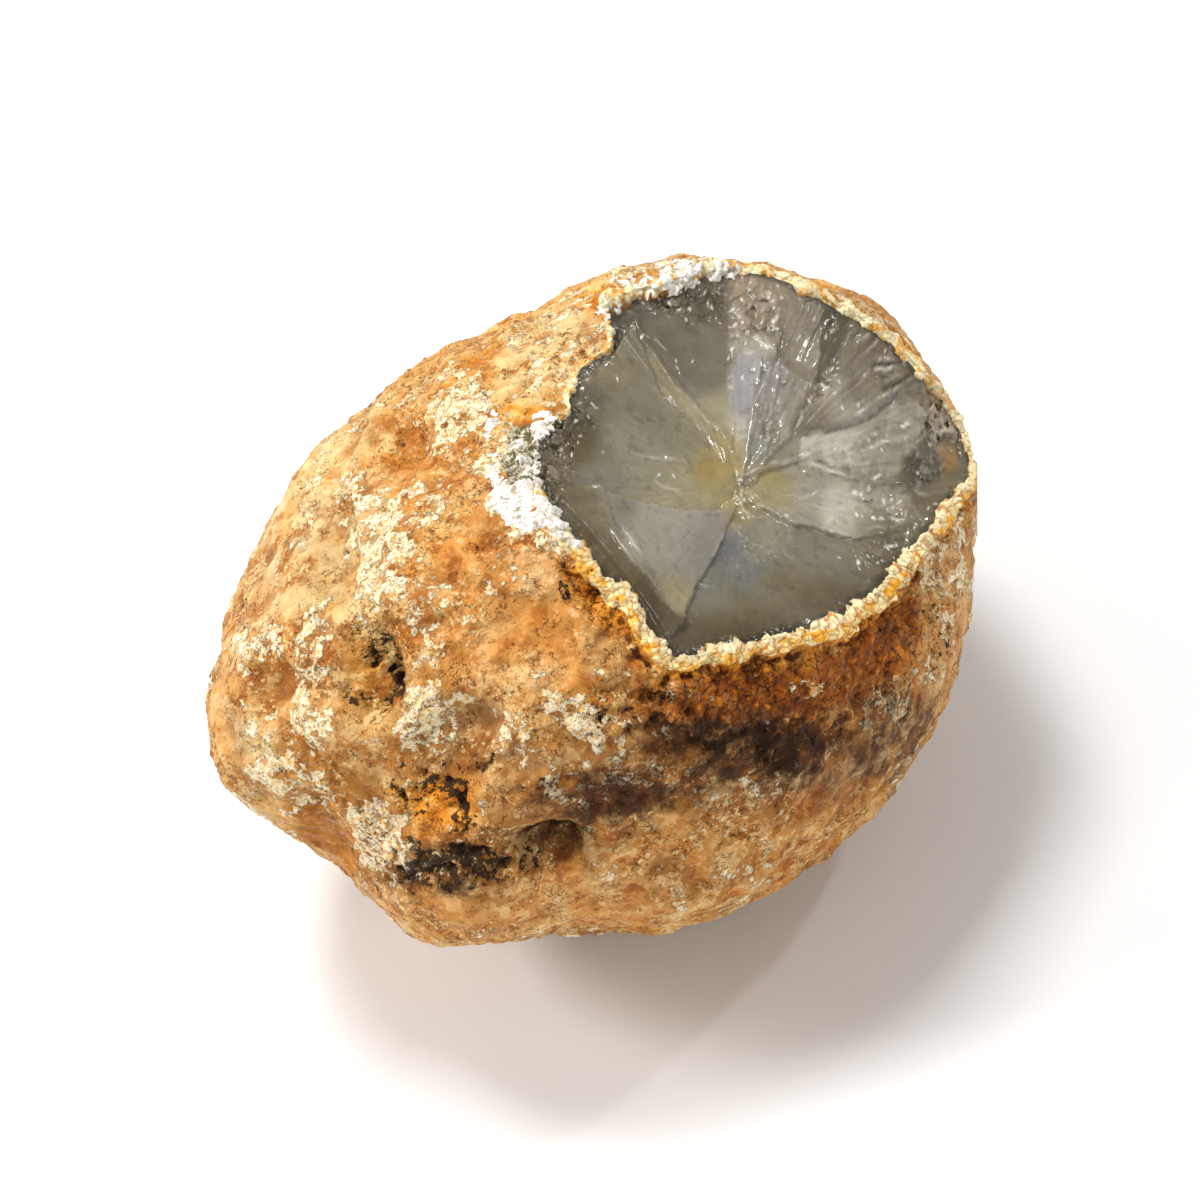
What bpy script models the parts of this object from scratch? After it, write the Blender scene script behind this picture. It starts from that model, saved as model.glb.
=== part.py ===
"""Rough agate nodule, broken open at one end.

One piece of natural stone: a rounded, slightly egg-shaped nodule with a thin weathered
rind. Its upper end is broken off obliquely, which leaves a shallow, faceted fracture face
of grey chalcedony ringed by the edge of the rind. The stone lies on a small flat spot
under its centre of mass.

Frame: +Z up, origin at the centre of the underside of the stone's bounding box, on the
plane that the flat spot rests on. The fracture face looks up and towards +X, -Y.
"""

from math import asin, cos, degrees, pi, radians, sin, tan

import bmesh
import bpy
import numpy as np
from mathutils import Vector

MM = 0.001

# ---------------------------------------------------------------- driving dimensions (mm, degrees)
HALF_LONG = 42.4   # half length of the body, along its horizontal long axis
HALF_WIDE = 32.3   # half width, across it
HALF_TALL = 32.3   # half height
YAW = 52.0         # long axis, from +X towards +Y
FLAT_CUT = 1.9     # the flat spot is this far above where the body's lowest point would be
GRID = 26          # squares along each side of the six-sided grid that the surface is built on

# The outline as it is seen from the side that the stone is usually looked at from, given as a
# factor on the plain ellipsoid's outline every 20 degrees, counter-clockwise from the right.
SIDE = (0.1252, -0.6963, 0.7068)
OUTLINE = (1.025, 1.015, 1.01, 0.96, 0.95, 0.90, 0.90, 0.915, 0.96,
           0.995, 1.01, 0.89, 0.96, 0.92, 1.015, 1.05, 1.05, 1.05)

# The broken face. Its middle is a point (direction and distance from the stone's centre), and its
# edge is given as the angle away from that direction, every 10 degrees round it.
FACE_AZ, FACE_EL = -19.7, 51.5
FACE_MIDDLE = 25.0
FACE_EDGE = (43.2, 43.8, 47.5, 49.0, 46.2, 46.0, 45.5, 38.0, 34.2, 35.6, 35.9, 35.3,
             39.0, 39.6, 38.7, 37.7, 36.4, 35.6, 37.6, 37.7, 33.0, 30.8, 28.8, 28.1,
             28.0, 28.0, 28.5, 29.4, 30.8, 33.0, 36.3, 41.3, 50.5, 51.3, 46.2, 44.9)
# Ridges (+) and troughs (-) that run out from the middle of the broken face: angle, height.
FOLDS = ((20, 0.9), (47, -0.4), (70, 0.7), (104, 0.2), (134, 0.4), (162, -0.5), (188, 0.9),
         (232, -0.7), (288, 0.5), (315, -0.7), (338, 0.8), (357, -0.6))

# Hollows (+ depth) and swellings (-) of the rind: azimuth, elevation, radius, depth.
HOLLOWS = (
    (-125, 4, 7.5, 1.3), (-134, 22, 4.6, 0.8), (-118, 31, 4.2, 1.3), (-156, 59, 4.5, 0.8),
    (-172, 55, 4.0, -0.6), (-103, 28, 5.0, 0.6), (-91, 8, 4.0, 1.4), (-140, 42, 5.5, 0.6),
    (-143, 8, 6.5, -0.6), (-70, 24, 6.0, -0.5), (-60, 4, 8.0, 0.9), (-20, -5, 9.0, 0.8),
    (160, 20, 8.0, 1.2), (140, -10, 9.0, -1.0), (105, 25, 9.0, 1.1), (85, 2, 7.0, 0.9),
    (55, 12, 8.0, -1.0), (30, -14, 9.0, 1.3), (62, -35, 8.0, 0.9), (-160, -22, 9.0, 1.0),
    (178, 40, 6.0, -0.7), (120, 58, 7.0, 0.9), (-100, -30, 8.0, 0.8), (10, 24, 5.0, 0.6),
)


# ---------------------------------------------------------------- shape, as a distance from the centre
def unit(v):
    v = np.asarray(v, float)
    return v / np.linalg.norm(v, axis=-1, keepdims=True)


def towards(azimuth, elevation):
    a, e = radians(azimuth), radians(elevation)
    return np.array([cos(a) * cos(e), sin(a) * cos(e), sin(e)])


def frame_about(w):
    w = unit(w)
    u = unit(np.cross([0.0, 0.0, 1.0], w))
    return u, np.cross(w, u), w


def round_table(table, angle):
    """A smooth closed curve through values evenly spaced round a circle."""
    t = np.asarray(table, float)
    n = len(t)
    x = (angle % 360.0) / 360.0 * n
    i = np.floor(x).astype(int)
    f = x - i
    a, b, c, d = t[(i - 1) % n], t[i % n], t[(i + 1) % n], t[(i + 2) % n]
    return b + 0.5 * f * (c - a + f * (2 * a - 5 * b + 4 * c - d + f * (3 * (b - c) + d - a)))


def fold(angle):
    """Height of the ridges and troughs round the broken face, eased between one and the next."""
    a = np.array([x for x, _ in FOLDS], float)
    h = np.array([x for _, x in FOLDS], float)
    a, h = np.concatenate([a - 360, a, a + 360]), np.tile(h, 3)
    x = angle % 360.0
    i = np.searchsorted(a, x, side="right") - 1
    t = (x - a[i]) / (a[i + 1] - a[i])
    return h[i] + (h[i + 1] - h[i]) * t * t * (3 - 2 * t)


def body(d):
    """Distance to the rind in directions d: an ellipsoid, its outline trimmed, with long soft
    undulations and the hollows on it."""
    cy, sy = cos(radians(YAW)), sin(radians(YAW))
    x, y, z = d[:, 0] * cy + d[:, 1] * sy, d[:, 1] * cy - d[:, 0] * sy, d[:, 2]
    r = 1 / np.sqrt((x / HALF_LONG) ** 2 + (y / HALF_WIDE) ** 2 + (z / HALF_TALL) ** 2)
    u, v, w = frame_about(SIDE)
    angle = np.degrees(np.arctan2(d @ v, d @ u))
    r = r * (1 + (round_table(OUTLINE, angle) - 1) * (1 - (d @ w) ** 2))
    p = d * r[:, None]
    r = r + 0.35 * (np.sin(p @ [0.21, 0.10, -0.16] + 0.6) + np.sin(p @ [-0.12, 0.24, 0.13] + 2.1)
                    + np.sin(p @ [0.07, -0.15, 0.27] + 4.0))
    for azimuth, elevation, radius, depth in HOLLOWS:
        away = np.linalg.norm(p - towards(azimuth, elevation) * (p @ towards(azimuth, elevation))[:, None], axis=1)
        front = (p @ towards(azimuth, elevation)) > 0
        r = r - np.where(front, depth * np.exp(-((away / radius) ** 2) * 1.6), 0)
    return r


def face_polar(d):
    """(angle away from the face's middle direction, angle round it, its edge there), degrees."""
    u, v, w = frame_about(towards(FACE_AZ, FACE_EL))
    out = np.degrees(np.arccos(np.clip(d @ w, -1, 1)))
    about = np.degrees(np.arctan2(d @ v, d @ u))
    return out, about, round_table(FACE_EDGE, about)


def from_polar(out, about):
    u, v, w = frame_about(towards(FACE_AZ, FACE_EL))
    o, a = np.radians(out)[:, None], np.radians(about)[:, None]
    return np.cos(o) * w + np.sin(o) * (np.cos(a) * u + np.sin(a) * v)


def stone(d):
    """Distance to the stone's surface: the body, and inside the face's edge the broken face,
    straight lines from its middle to its edge with the folds on them."""
    r = body(d)
    out, about, edge = face_polar(d)
    inside = out < edge
    rim = body(from_polar(edge, about))
    o, e = np.radians(out), np.radians(edge)
    across = FACE_MIDDLE * rim * np.sin(e) / (FACE_MIDDLE * np.sin(o) + rim * np.sin(np.maximum(e - o, 0)))
    s = np.clip(out / edge, 0, 1)
    across = across + fold(about) * 6.75 * s * s * (1 - s)
    return np.where(inside, across, r)


# ---------------------------------------------------------------- the mesh
def sphere_grid(n):
    """A unit sphere of six n x n grids, its squares of nearly equal size."""
    bm = bmesh.new()
    bmesh.ops.create_cube(bm, size=2.0)
    bmesh.ops.subdivide_edges(bm, edges=bm.edges[:], cuts=n - 1, use_grid_fill=True)
    for vert in bm.verts:
        vert.co = Vector([tan(c * pi / 4) for c in vert.co]).normalized()
    return bm


def build_nodule():
    bm = sphere_grid(GRID)
    d = unit(np.array([v.co for v in bm.verts]))
    # The edge of the broken face is a line of the mesh: grid points close to it move onto it.
    out, about, edge = face_polar(d)
    step = degrees(asin(1.05 / GRID))
    near = np.abs(out - edge) < 0.42 * step
    d[near] = from_polar(edge[near], about[near])
    p = d * stone(d)[:, None]
    for vert, co in zip(bm.verts, p):
        vert.co = Vector(co)
    bmesh.ops.remove_doubles(bm, verts=bm.verts[:], dist=0.35)
    bmesh.ops.triangulate(bm, faces=bm.faces[:], quad_method="SHORT_EDGE")
    # The flat spot: everything under it is cut away, and the cut is closed with one face. Points
    # that are nearly at its level move onto it first, so that the cut leaves no slivers.
    level = -HALF_TALL + FLAT_CUT
    for vert in bm.verts:
        if abs(vert.co.z - level) < 0.25:
            vert.co.z = level
    cut = bmesh.ops.bisect_plane(bm, geom=bm.verts[:] + bm.edges[:] + bm.faces[:], dist=1e-4,
                                 plane_co=(0, 0, level), plane_no=(0, 0, 1), clear_inner=True)
    rim = [e for e in cut["geom_cut"] if isinstance(e, bmesh.types.BMEdge)]
    bmesh.ops.contextual_create(bm, geom=rim)
    bmesh.ops.recalc_face_normals(bm, faces=bm.faces[:])
    # The origin goes under the middle of the bounding box, on the flat spot.
    co = np.array([v.co for v in bm.verts])
    middle = (co.min(0) + co.max(0)) / 2
    shift = Vector((-middle[0], -middle[1], -level))
    for vert in bm.verts:
        vert.co = (vert.co + shift) * MM
    mesh = bpy.data.meshes.new("agate_nodule")
    bm.to_mesh(mesh)
    bm.free()
    mesh.shade_smooth()
    mesh.set_sharp_from_angle(angle=radians(38))
    return mesh, shift


def stone_material(name, colour, roughness):
    mat = bpy.data.materials.new(name)
    mat.use_nodes = True
    bsdf = mat.node_tree.nodes["Principled BSDF"]
    bsdf.inputs["Base Color"].default_value = (*colour, 1)
    bsdf.inputs["Roughness"].default_value = roughness
    bsdf.inputs["Metallic"].default_value = 0
    return mat


for leftover in list(bpy.data.objects):
    bpy.data.objects.remove(leftover, do_unlink=True)

mesh, shift = build_nodule()
nodule = bpy.data.objects.new("agate_nodule", mesh)
bpy.context.scene.collection.objects.link(nodule)
mesh.materials.append(stone_material("weathered_rind", (0.52, 0.34, 0.18), 0.6))
mesh.materials.append(stone_material("grey_chalcedony", (0.26, 0.27, 0.24), 0.15))

# The faces inside the edge of the break take the chalcedony's material.
middles = np.array([f.center for f in mesh.polygons]) / MM - np.array(shift)
out, about, edge = face_polar(unit(middles))
for face, inside in zip(mesh.polygons, out < edge):
    face.material_index = int(inside)
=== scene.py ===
"""Looks of the rough agate nodule, in three solid pieces that stand for its one CAD node: the
weathered rind with the hollow that the break left in it, a ring with a finer mesh for the rind's
broken edge, and the grey chalcedony core, whose faceted fracture face fills the hollow.

Lengths in the shape code are millimetres from the stone's centre. Places on the visible side are
given as pixels of the 1200 x 1200 picture, which a camera model turns into points on the stone,
so each mark sits on the surface and is seen from any side.
"""

from math import cos, pi, radians, sin

import bpy
import numpy as np
from mathutils import Matrix, Vector


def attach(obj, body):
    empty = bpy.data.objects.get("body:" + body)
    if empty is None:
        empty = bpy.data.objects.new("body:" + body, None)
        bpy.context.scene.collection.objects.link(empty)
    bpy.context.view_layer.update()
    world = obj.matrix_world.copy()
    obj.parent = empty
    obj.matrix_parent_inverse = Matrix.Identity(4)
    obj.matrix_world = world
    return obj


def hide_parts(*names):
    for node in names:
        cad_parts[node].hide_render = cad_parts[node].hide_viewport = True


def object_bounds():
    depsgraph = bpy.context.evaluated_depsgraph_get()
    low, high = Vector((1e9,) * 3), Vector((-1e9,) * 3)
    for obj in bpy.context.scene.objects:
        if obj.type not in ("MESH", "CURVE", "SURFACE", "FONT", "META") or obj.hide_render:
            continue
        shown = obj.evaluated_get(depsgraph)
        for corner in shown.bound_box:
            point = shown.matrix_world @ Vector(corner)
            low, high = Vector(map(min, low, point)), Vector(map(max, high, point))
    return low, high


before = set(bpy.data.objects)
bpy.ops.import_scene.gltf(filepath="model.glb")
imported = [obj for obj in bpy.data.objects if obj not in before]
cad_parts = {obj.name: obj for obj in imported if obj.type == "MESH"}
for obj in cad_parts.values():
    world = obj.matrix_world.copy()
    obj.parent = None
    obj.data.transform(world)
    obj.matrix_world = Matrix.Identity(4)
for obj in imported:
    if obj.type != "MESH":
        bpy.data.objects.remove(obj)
cad_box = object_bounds()

MM = 0.001
SHIFT = np.array([-0.4131, 0.1082, 30.4])  # the stone's centre in the frame, mm
BASE = -30.4                               # height of the flat spot, from the stone's centre

# ---------------------------------------------------------------- the body, as the CAD has it
HALF_LONG, HALF_WIDE, HALF_TALL, YAW = 42.4, 32.3, 32.3, 52.0
SIDE = (0.1252, -0.6963, 0.7068)
OUTLINE = (1.025, 1.015, 1.01, 0.96, 0.95, 0.90, 0.90, 0.915, 0.96,
           0.995, 1.01, 0.89, 0.96, 0.92, 1.015, 1.05, 1.05, 1.05)
FACE_AZ, FACE_EL, FACE_MIDDLE = -19.7, 51.5, 25.0
FACE_EDGE = (43.2, 43.8, 47.5, 49.0, 46.2, 46.0, 45.5, 38.0, 34.2, 35.6, 35.9, 35.3,
             39.0, 39.6, 38.7, 37.7, 36.4, 35.6, 37.6, 37.7, 33.0, 30.8, 28.8, 28.1,
             28.0, 28.0, 28.5, 29.4, 30.8, 33.0, 36.3, 41.3, 50.5, 51.3, 46.2, 44.9)
HOLLOWS = (
    (-125, 4, 7.5, 1.3), (-134, 22, 4.6, 0.8), (-118, 31, 4.2, 1.3), (-156, 59, 4.5, 0.8),
    (-172, 55, 4.0, -0.6), (-103, 28, 5.0, 0.6), (-91, 8, 4.0, 1.4), (-140, 42, 5.5, 0.6),
    (-143, 8, 6.5, -0.6), (-70, 24, 6.0, -0.5), (-60, 4, 8.0, 0.9), (-20, -5, 9.0, 0.8),
    (160, 20, 8.0, 1.2), (140, -10, 9.0, -1.0), (105, 25, 9.0, 1.1), (85, 2, 7.0, 0.9),
    (55, 12, 8.0, -1.0), (30, -14, 9.0, 1.3), (62, -35, 8.0, 0.9), (-160, -22, 9.0, 1.0),
    (178, 40, 6.0, -0.7), (120, 58, 7.0, 0.9), (-100, -30, 8.0, 0.8), (10, 24, 5.0, 0.6),
)

# ---------------------------------------------------------------- the camera that took the picture
FOCAL_PX = 1648.5                      # 40 degrees across 1200 px
PITCH = radians(55)
RIGHT = np.array([1.0, 0.0, 0.0])
AHEAD = np.array([0.0, cos(PITCH), -sin(PITCH)])
ABOVE = np.array([0.0, sin(PITCH), cos(PITCH)])
CENTRE_PX = (389.0, 322.0)             # where the stone's centre is in the picture
EYE = -297.0 * (AHEAD + (CENTRE_PX[0] - 600) / FOCAL_PX * RIGHT + (600 - CENTRE_PX[1]) / FOCAL_PX * ABOVE)
CLOSER = 1.85                          # the render is framed this much tighter than the picture


# ---------------------------------------------------------------- small tools
def unit(v):
    v = np.asarray(v, float)
    return v / np.linalg.norm(v, axis=-1, keepdims=True)


def towards(azimuth, elevation):
    a, e = radians(azimuth), radians(elevation)
    return np.array([cos(a) * cos(e), sin(a) * cos(e), sin(e)])


def frame_about(w):
    w = unit(w)
    u = unit(np.cross([0.0, 0.0, 1.0], w))
    return u, np.cross(w, u), w


def ease(x, low, high, start=0.0):
    """0 at low, 1 at high, smooth between; low may be the larger, and both count from start."""
    t = np.clip((x - start - low) / (high - low), 0, 1)
    return t * t * (3 - 2 * t)


def round_table(table, angle):
    t = np.asarray(table, float)
    n = len(t)
    x = (angle % 360.0) / 360.0 * n
    i = np.floor(x).astype(int)
    f = x - i
    a, b, c, d = t[(i - 1) % n], t[i % n], t[(i + 1) % n], t[(i + 2) % n]
    return b + 0.5 * f * (c - a + f * (2 * a - 5 * b + 4 * c - d + f * (3 * (b - c) + d - a)))


def scramble(i, j, k, seed):
    h = (i * 374761393 + j * 668265263 + k * 1442695041 + seed * 97531) & 0xFFFFFFFF
    h = ((h ^ (h >> 13)) * 1274126177) & 0xFFFFFFFF
    h = ((h ^ (h >> 15)) * 2246822519) & 0xFFFFFFFF
    return h ^ (h >> 16)


def noise(p, seed=0):
    """Gradient noise, about -1 to 1, with a feature size of one unit."""
    base = np.floor(p).astype(np.int64)
    f = p - base
    s = f * f * f * (f * (f * 6 - 15) + 10)
    total = np.zeros(len(p))
    for corner in range(8):
        o = np.array([corner & 1, corner >> 1 & 1, corner >> 2 & 1])
        h = scramble(*(base + o).T, seed)
        g = np.stack([h & 255, h >> 8 & 255, h >> 16 & 255], 1) / 127.5 - 1
        w = np.prod(np.where(o == 1, s, 1 - s), axis=1)
        total += w * ((f - o) * g).sum(1)
    return total * 1.6


def layers(p, octaves, seed=0, fade=0.5):
    """Noise with finer and weaker copies of itself."""
    total, weight = np.zeros(len(p)), 1.0
    for k in range(octaves):
        total += weight * noise(p * 2.03 ** k + 17.3 * k, seed + k)
        weight *= fade
    return total


def cells(p, seed=0):
    """Distance to the nearest and second nearest scattered point, that point's own number, and
    how far the place leans its own way from it."""
    base = np.floor(p).astype(np.int64)
    first, second, which = np.full(len(p), 9.0), np.full(len(p), 9.0), np.zeros(len(p), np.int64)
    offset = np.zeros_like(p)
    for i in (-1, 0, 1):
        for j in (-1, 0, 1):
            for k in (-1, 0, 1):
                c = base + np.array([i, j, k])
                h = scramble(*c.T, seed)
                at = c + np.stack([h & 1023, h >> 10 & 1023, h >> 20 & 1023], 1) / 1023.0
                d = np.linalg.norm(at - p, axis=1)
                closer = d < first
                second = np.where(closer, first, np.minimum(second, d))
                which = np.where(closer, h, which)
                offset = np.where(closer[:, None], at - p, offset)
                first = np.where(closer, d, first)
    number = (which & 0xFFFF) / 65535.0
    lean = np.stack([np.sin(number * 97.0), np.sin(number * 57.0 + 1.0), np.sin(number * 31.0 + 2.0)], 1)
    return first, second, number, (lean * offset).sum(1)


# ---------------------------------------------------------------- the coarse shape
def body(d):
    cy, sy = cos(radians(YAW)), sin(radians(YAW))
    x, y, z = d[:, 0] * cy + d[:, 1] * sy, d[:, 1] * cy - d[:, 0] * sy, d[:, 2]
    r = 1 / np.sqrt((x / HALF_LONG) ** 2 + (y / HALF_WIDE) ** 2 + (z / HALF_TALL) ** 2)
    u, v, w = frame_about(SIDE)
    angle = np.degrees(np.arctan2(d @ v, d @ u))
    r = r * (1 + (round_table(OUTLINE, angle) - 1) * (1 - (d @ w) ** 2))
    p = d * r[:, None]
    r = r + 0.35 * (np.sin(p @ [0.21, 0.10, -0.16] + 0.6) + np.sin(p @ [-0.12, 0.24, 0.13] + 2.1)
                    + np.sin(p @ [0.07, -0.15, 0.27] + 4.0))
    for azimuth, elevation, radius, depth in HOLLOWS:
        t = towards(azimuth, elevation)
        away = np.linalg.norm(p - t * (p @ t)[:, None], axis=1)
        r = r - np.where(p @ t > 0, depth * np.exp(-((away / radius) ** 2) * 1.6), 0)
    return r


def face_polar(d):
    u, v, w = frame_about(towards(FACE_AZ, FACE_EL))
    out = np.degrees(np.arccos(np.clip(d @ w, -1, 1)))
    about = np.degrees(np.arctan2(d @ v, d @ u)) % 360
    return out, about


def from_polar(out, about):
    u, v, w = frame_about(towards(FACE_AZ, FACE_EL))
    o, a = np.radians(out)[:, None], np.radians(about)[:, None]
    return np.cos(o) * w + np.sin(o) * (np.cos(a) * u + np.sin(a) * v)


def ragged_edge(about):
    """The table's edge of the broken face, chipped at a few scales."""
    edge = round_table(FACE_EDGE, about)
    p = from_polar(edge, about) * 33
    return edge + 0.60 * noise(p / 4.5, 11) + 0.50 * noise(p / 1.9, 12) + 0.40 * noise(p / 0.9, 13)


def bowl(out, edge, rim):
    """Distance to the CAD's dished face, without its folds."""
    o, e = np.radians(out), np.radians(edge)
    return FACE_MIDDLE * rim * np.sin(e) / (FACE_MIDDLE * np.sin(o) + rim * np.sin(e - o))


def picture(p):
    """Where points of the stone are in the picture, in its pixels."""
    q = p - EYE
    z = q @ AHEAD
    return 600 + FOCAL_PX * (q @ RIGHT) / z, 600 - FOCAL_PX * (q @ ABOVE) / z


def six_grids(n):
    """A unit sphere of six n x n grids: (directions, quads)."""
    t = np.tan(np.linspace(-1, 1, n + 1) * pi / 4)
    a, b = np.meshgrid(t, t, indexing="ij")
    one = np.ones_like(a)
    sides = ((one, a, b), (-one, b, a), (b, one, a), (a, -one, b), (a, b, one), (b, a, -one))
    points = np.concatenate([np.stack(s, -1).reshape(-1, 3) for s in sides])
    i, j = np.meshgrid(np.arange(n), np.arange(n), indexing="ij")
    q = (i * (n + 1) + j).reshape(-1)
    quad = np.stack([q, q + n + 1, q + n + 2, q + 1], 1)
    quads = np.concatenate([quad + s * (n + 1) ** 2 for s in range(6)])
    points = unit(points)
    _, first, index = np.unique(np.round(points, 6), axis=0, return_index=True, return_inverse=True)
    return points[first], index.reshape(-1)[quads]


def corner_normals(p, quads):
    c = p[quads]
    n = np.cross(c[:, 2] - c[:, 0], c[:, 3] - c[:, 1])
    total = np.zeros_like(p)
    for k in range(4):
        np.add.at(total, quads[:, k], n)
    return unit(total)


# ---------------------------------------------------------------- marks, placed in the picture
def spot(x, y, cx, cy, rx, ry, turn=0.0):
    """1 at the middle of an oval, falling to 0 past its edge."""
    t = radians(turn)
    u = ((x - cx) * cos(t) + (y - cy) * sin(t)) / rx
    v = (-(x - cx) * sin(t) + (y - cy) * cos(t)) / ry
    return ease(np.hypot(u, v), 1.5, 0.35)


def spots(x, y, table):
    best = np.zeros(len(x))
    for cx, cy, rx, ry, turn, amount in table:
        reach = 1.6 * max(rx, ry)
        near = (np.abs(x - cx) < reach) & (np.abs(y - cy) < reach)
        best[near] = np.maximum(best[near], amount * spot(x[near], y[near], cx, cy, rx, ry, turn))
    return best


def near_line(x, y, points):
    """(distance in px to a broken line, place along it from 0 to 1)"""
    pts = np.asarray(points, float)
    lengths = np.hypot(*np.diff(pts, axis=0).T)
    done = np.concatenate([[0], np.cumsum(lengths)])
    best, along = np.full(len(x), 1e9), np.zeros(len(x))
    for k, (a, b) in enumerate(zip(pts[:-1], pts[1:])):
        e = b - a
        t = np.clip(((x - a[0]) * e[0] + (y - a[1]) * e[1]) / (e @ e), 0, 1)
        d = np.hypot(x - a[0] - t * e[0], y - a[1] - t * e[1])
        closer = d < best
        best = np.where(closer, d, best)
        along = np.where(closer, (done[k] + t * lengths[k]) / done[-1], along)
    return best, along


def inside_by(x, y, poly):
    """Distance in px inside a polygon's edge, negative outside it."""
    pts = np.asarray(poly, float)
    best, inside = np.full(len(x), 1e9), np.zeros(len(x), bool)
    for a, b in zip(pts, np.roll(pts, -1, 0)):
        e = b - a
        t = np.clip(((x - a[0]) * e[0] + (y - a[1]) * e[1]) / (e @ e), 0, 1)
        best = np.minimum(best, np.hypot(x - a[0] - t * e[0], y - a[1] - t * e[1]))
        if a[1] != b[1]:
            inside ^= ((a[1] > y) != (b[1] > y)) & (x < (b[0] - a[0]) * (y - a[1]) / (b[1] - a[1]) + a[0])
    return np.where(inside, best, -best)


# Seen colours of the stone, as sRGB
HUES = {
    # rind
    "tan": (0.83, 0.575, 0.29), "golden": (0.82, 0.53, 0.19), "pink": (0.85, 0.615, 0.36),
    "beige": (0.92, 0.78, 0.54), "greybeige": (0.79, 0.67, 0.46), "brown": (0.55, 0.33, 0.12),
    "stain": (0.60, 0.295, 0.01), "orange": (0.93, 0.58, 0.11), "umber": (0.22, 0.12, 0.02),
    "dun": (0.71, 0.48, 0.22), "taupe": (0.67, 0.51, 0.33), "pit": (0.60, 0.45, 0.19),
    "pale": (0.95, 0.83, 0.61), "chalk": (0.95, 0.865, 0.71),
    # chalcedony
    "sage": (0.555, 0.525, 0.430), "sagelight": (0.640, 0.600, 0.465), "olive": (0.365, 0.335, 0.240),
    "bark": (0.430, 0.390, 0.305), "sand": (0.670, 0.620, 0.480), "pearl": (0.660, 0.640, 0.630),
    "violet": (0.490, 0.455, 0.430), "crumb": (0.560, 0.480, 0.380), "smoke": (0.485, 0.445, 0.375),
    "ink": (0.310, 0.280, 0.215), "frost": (0.780, 0.750, 0.680), "mist": (0.630, 0.600, 0.525),
    "slate": (0.490, 0.468, 0.400), "blue": (0.480, 0.474, 0.450), "lilac": (0.610, 0.580, 0.530),
    "moss": (0.400, 0.345, 0.220), "mud": (0.445, 0.400, 0.280), "honey": (0.700, 0.600, 0.330),
    "rust": (0.660, 0.460, 0.180), "tip": (0.690, 0.635, 0.490), "flesh": (0.660, 0.550, 0.450),
}

# Washes of colour on the rind: x, y, half sizes, turn, colour, amount.
# The brown and umber washes low on the stone, under the break, make it darker towards the bottom: partly its stain,
# partly painted shade.
WASHES = (
    (330, 320, 60, 60, 0, "tan", 0.4), (330, 430, 110, 40, -8, "dun", 0.75), (480, 400, 70, 40, 0, "brown", 0.8),
    (215, 270, 22, 60, 32, "chalk", 0.75), (196, 330, 14, 34, 12, "chalk", 0.45), (360, 176, 32, 18, -32, "chalk", 0.8),
    (262, 296, 16, 34, 14, "chalk", 0.5), (186, 400, 8, 24, -5, "chalk", 0.5),
    (262, 366, 18, 24, -10, "pit", 1.0), (250, 320, 24, 40, 12, "beige", 0.4), (300, 300, 20, 30, 0, "golden", 0.4),
    (206, 400, 24, 30, -20, "beige", 0.5),
    (415, 410, 60, 26, -8, "brown", 0.55), (330, 178, 60, 22, -33, "beige", 0.7), (236, 245, 14, 44, 35, "beige", 0.85),
    (234, 302, 15, 38, 14, "greybeige", 1.0), (279, 230, 18, 18, -35, "golden", 0.5), (312, 190, 24, 8, -38, "golden", 0.9),
    (276, 232, 11, 14, -35, "brown", 0.35), (304, 246, 16, 8, -20, "dun", 0.7), (576, 302, 14, 22, 22, "beige", 0.9),
    (295, 255, 22, 14, -30, "tan", 0.6), (190, 320, 12, 20, 10, "dun", 0.6), (206, 372, 15, 20, 10, "dun", 0.95),
    (190, 397, 10, 20, -5, "greybeige", 0.95), (206, 436, 10, 22, -38, "greybeige", 0.8), (240, 412, 22, 26, 0, "dun", 0.8),
    (234, 450, 17, 30, -33, "orange", 0.9), (234, 452, 12, 26, -33, "brown", 0.65), (322, 325, 42, 34, 0, "tan", 0.9),
    (355, 302, 20, 18, 0, "pink", 0.9), (345, 360, 40, 16, 10, "pink", 0.6), (255, 362, 9, 16, 0, "golden", 1.0),
    (270, 368, 8, 18, -10, "umber", 0.35), (286, 392, 8, 14, 0, "taupe", 0.6), (323, 392, 22, 15, 15, "taupe", 0.9),
    (352, 412, 22, 12, 10, "taupe", 0.7), (318, 413, 26, 9, 0, "brown", 0.85), (300, 437, 22, 14, 5, "orange", 0.95),
    (303, 470, 30, 12, -10, "umber", 0.9), (340, 446, 26, 14, 0, "dun", 0.7), (363, 455, 24, 9, -8, "umber", 0.75),
    (402, 430, 34, 12, -6, "brown", 0.9), (388, 384, 26, 14, 20, "golden", 0.6), (422, 378, 14, 7, 0, "brown", 0.9),
    (390, 322, 24, 11, 46, "orange", 0.95), (381, 312, 13, 7, 46, "stain", 0.9), (470, 376, 54, 20, -8, "stain", 1.0),
    (548, 345, 17, 34, 25, "stain", 1.0), (475, 405, 40, 18, 0, "umber", 0.85), (520, 368, 30, 16, -26, "stain", 0.8),
    (550, 382, 26, 14, -45, "dun", 0.8), (582, 330, 14, 60, 8, "pink", 0.9), (540, 405, 30, 12, -30, "taupe", 0.7),
    (341, 214, 13, 10, 0, "orange", 1.0), (362, 186, 24, 18, -30, "beige", 0.9), (386, 145, 16, 8, -18, "orange", 0.95),
    (348, 154, 14, 4, -28, "golden", 0.8), (502, 145, 14, 6, 15, "orange", 1.0), (560, 195, 10, 40, -38, "golden", 0.5),
    (445, 130, 60, 8, 0, "beige", 0.7), (216, 345, 14, 14, 0, "tan", 0.5),
)
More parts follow.
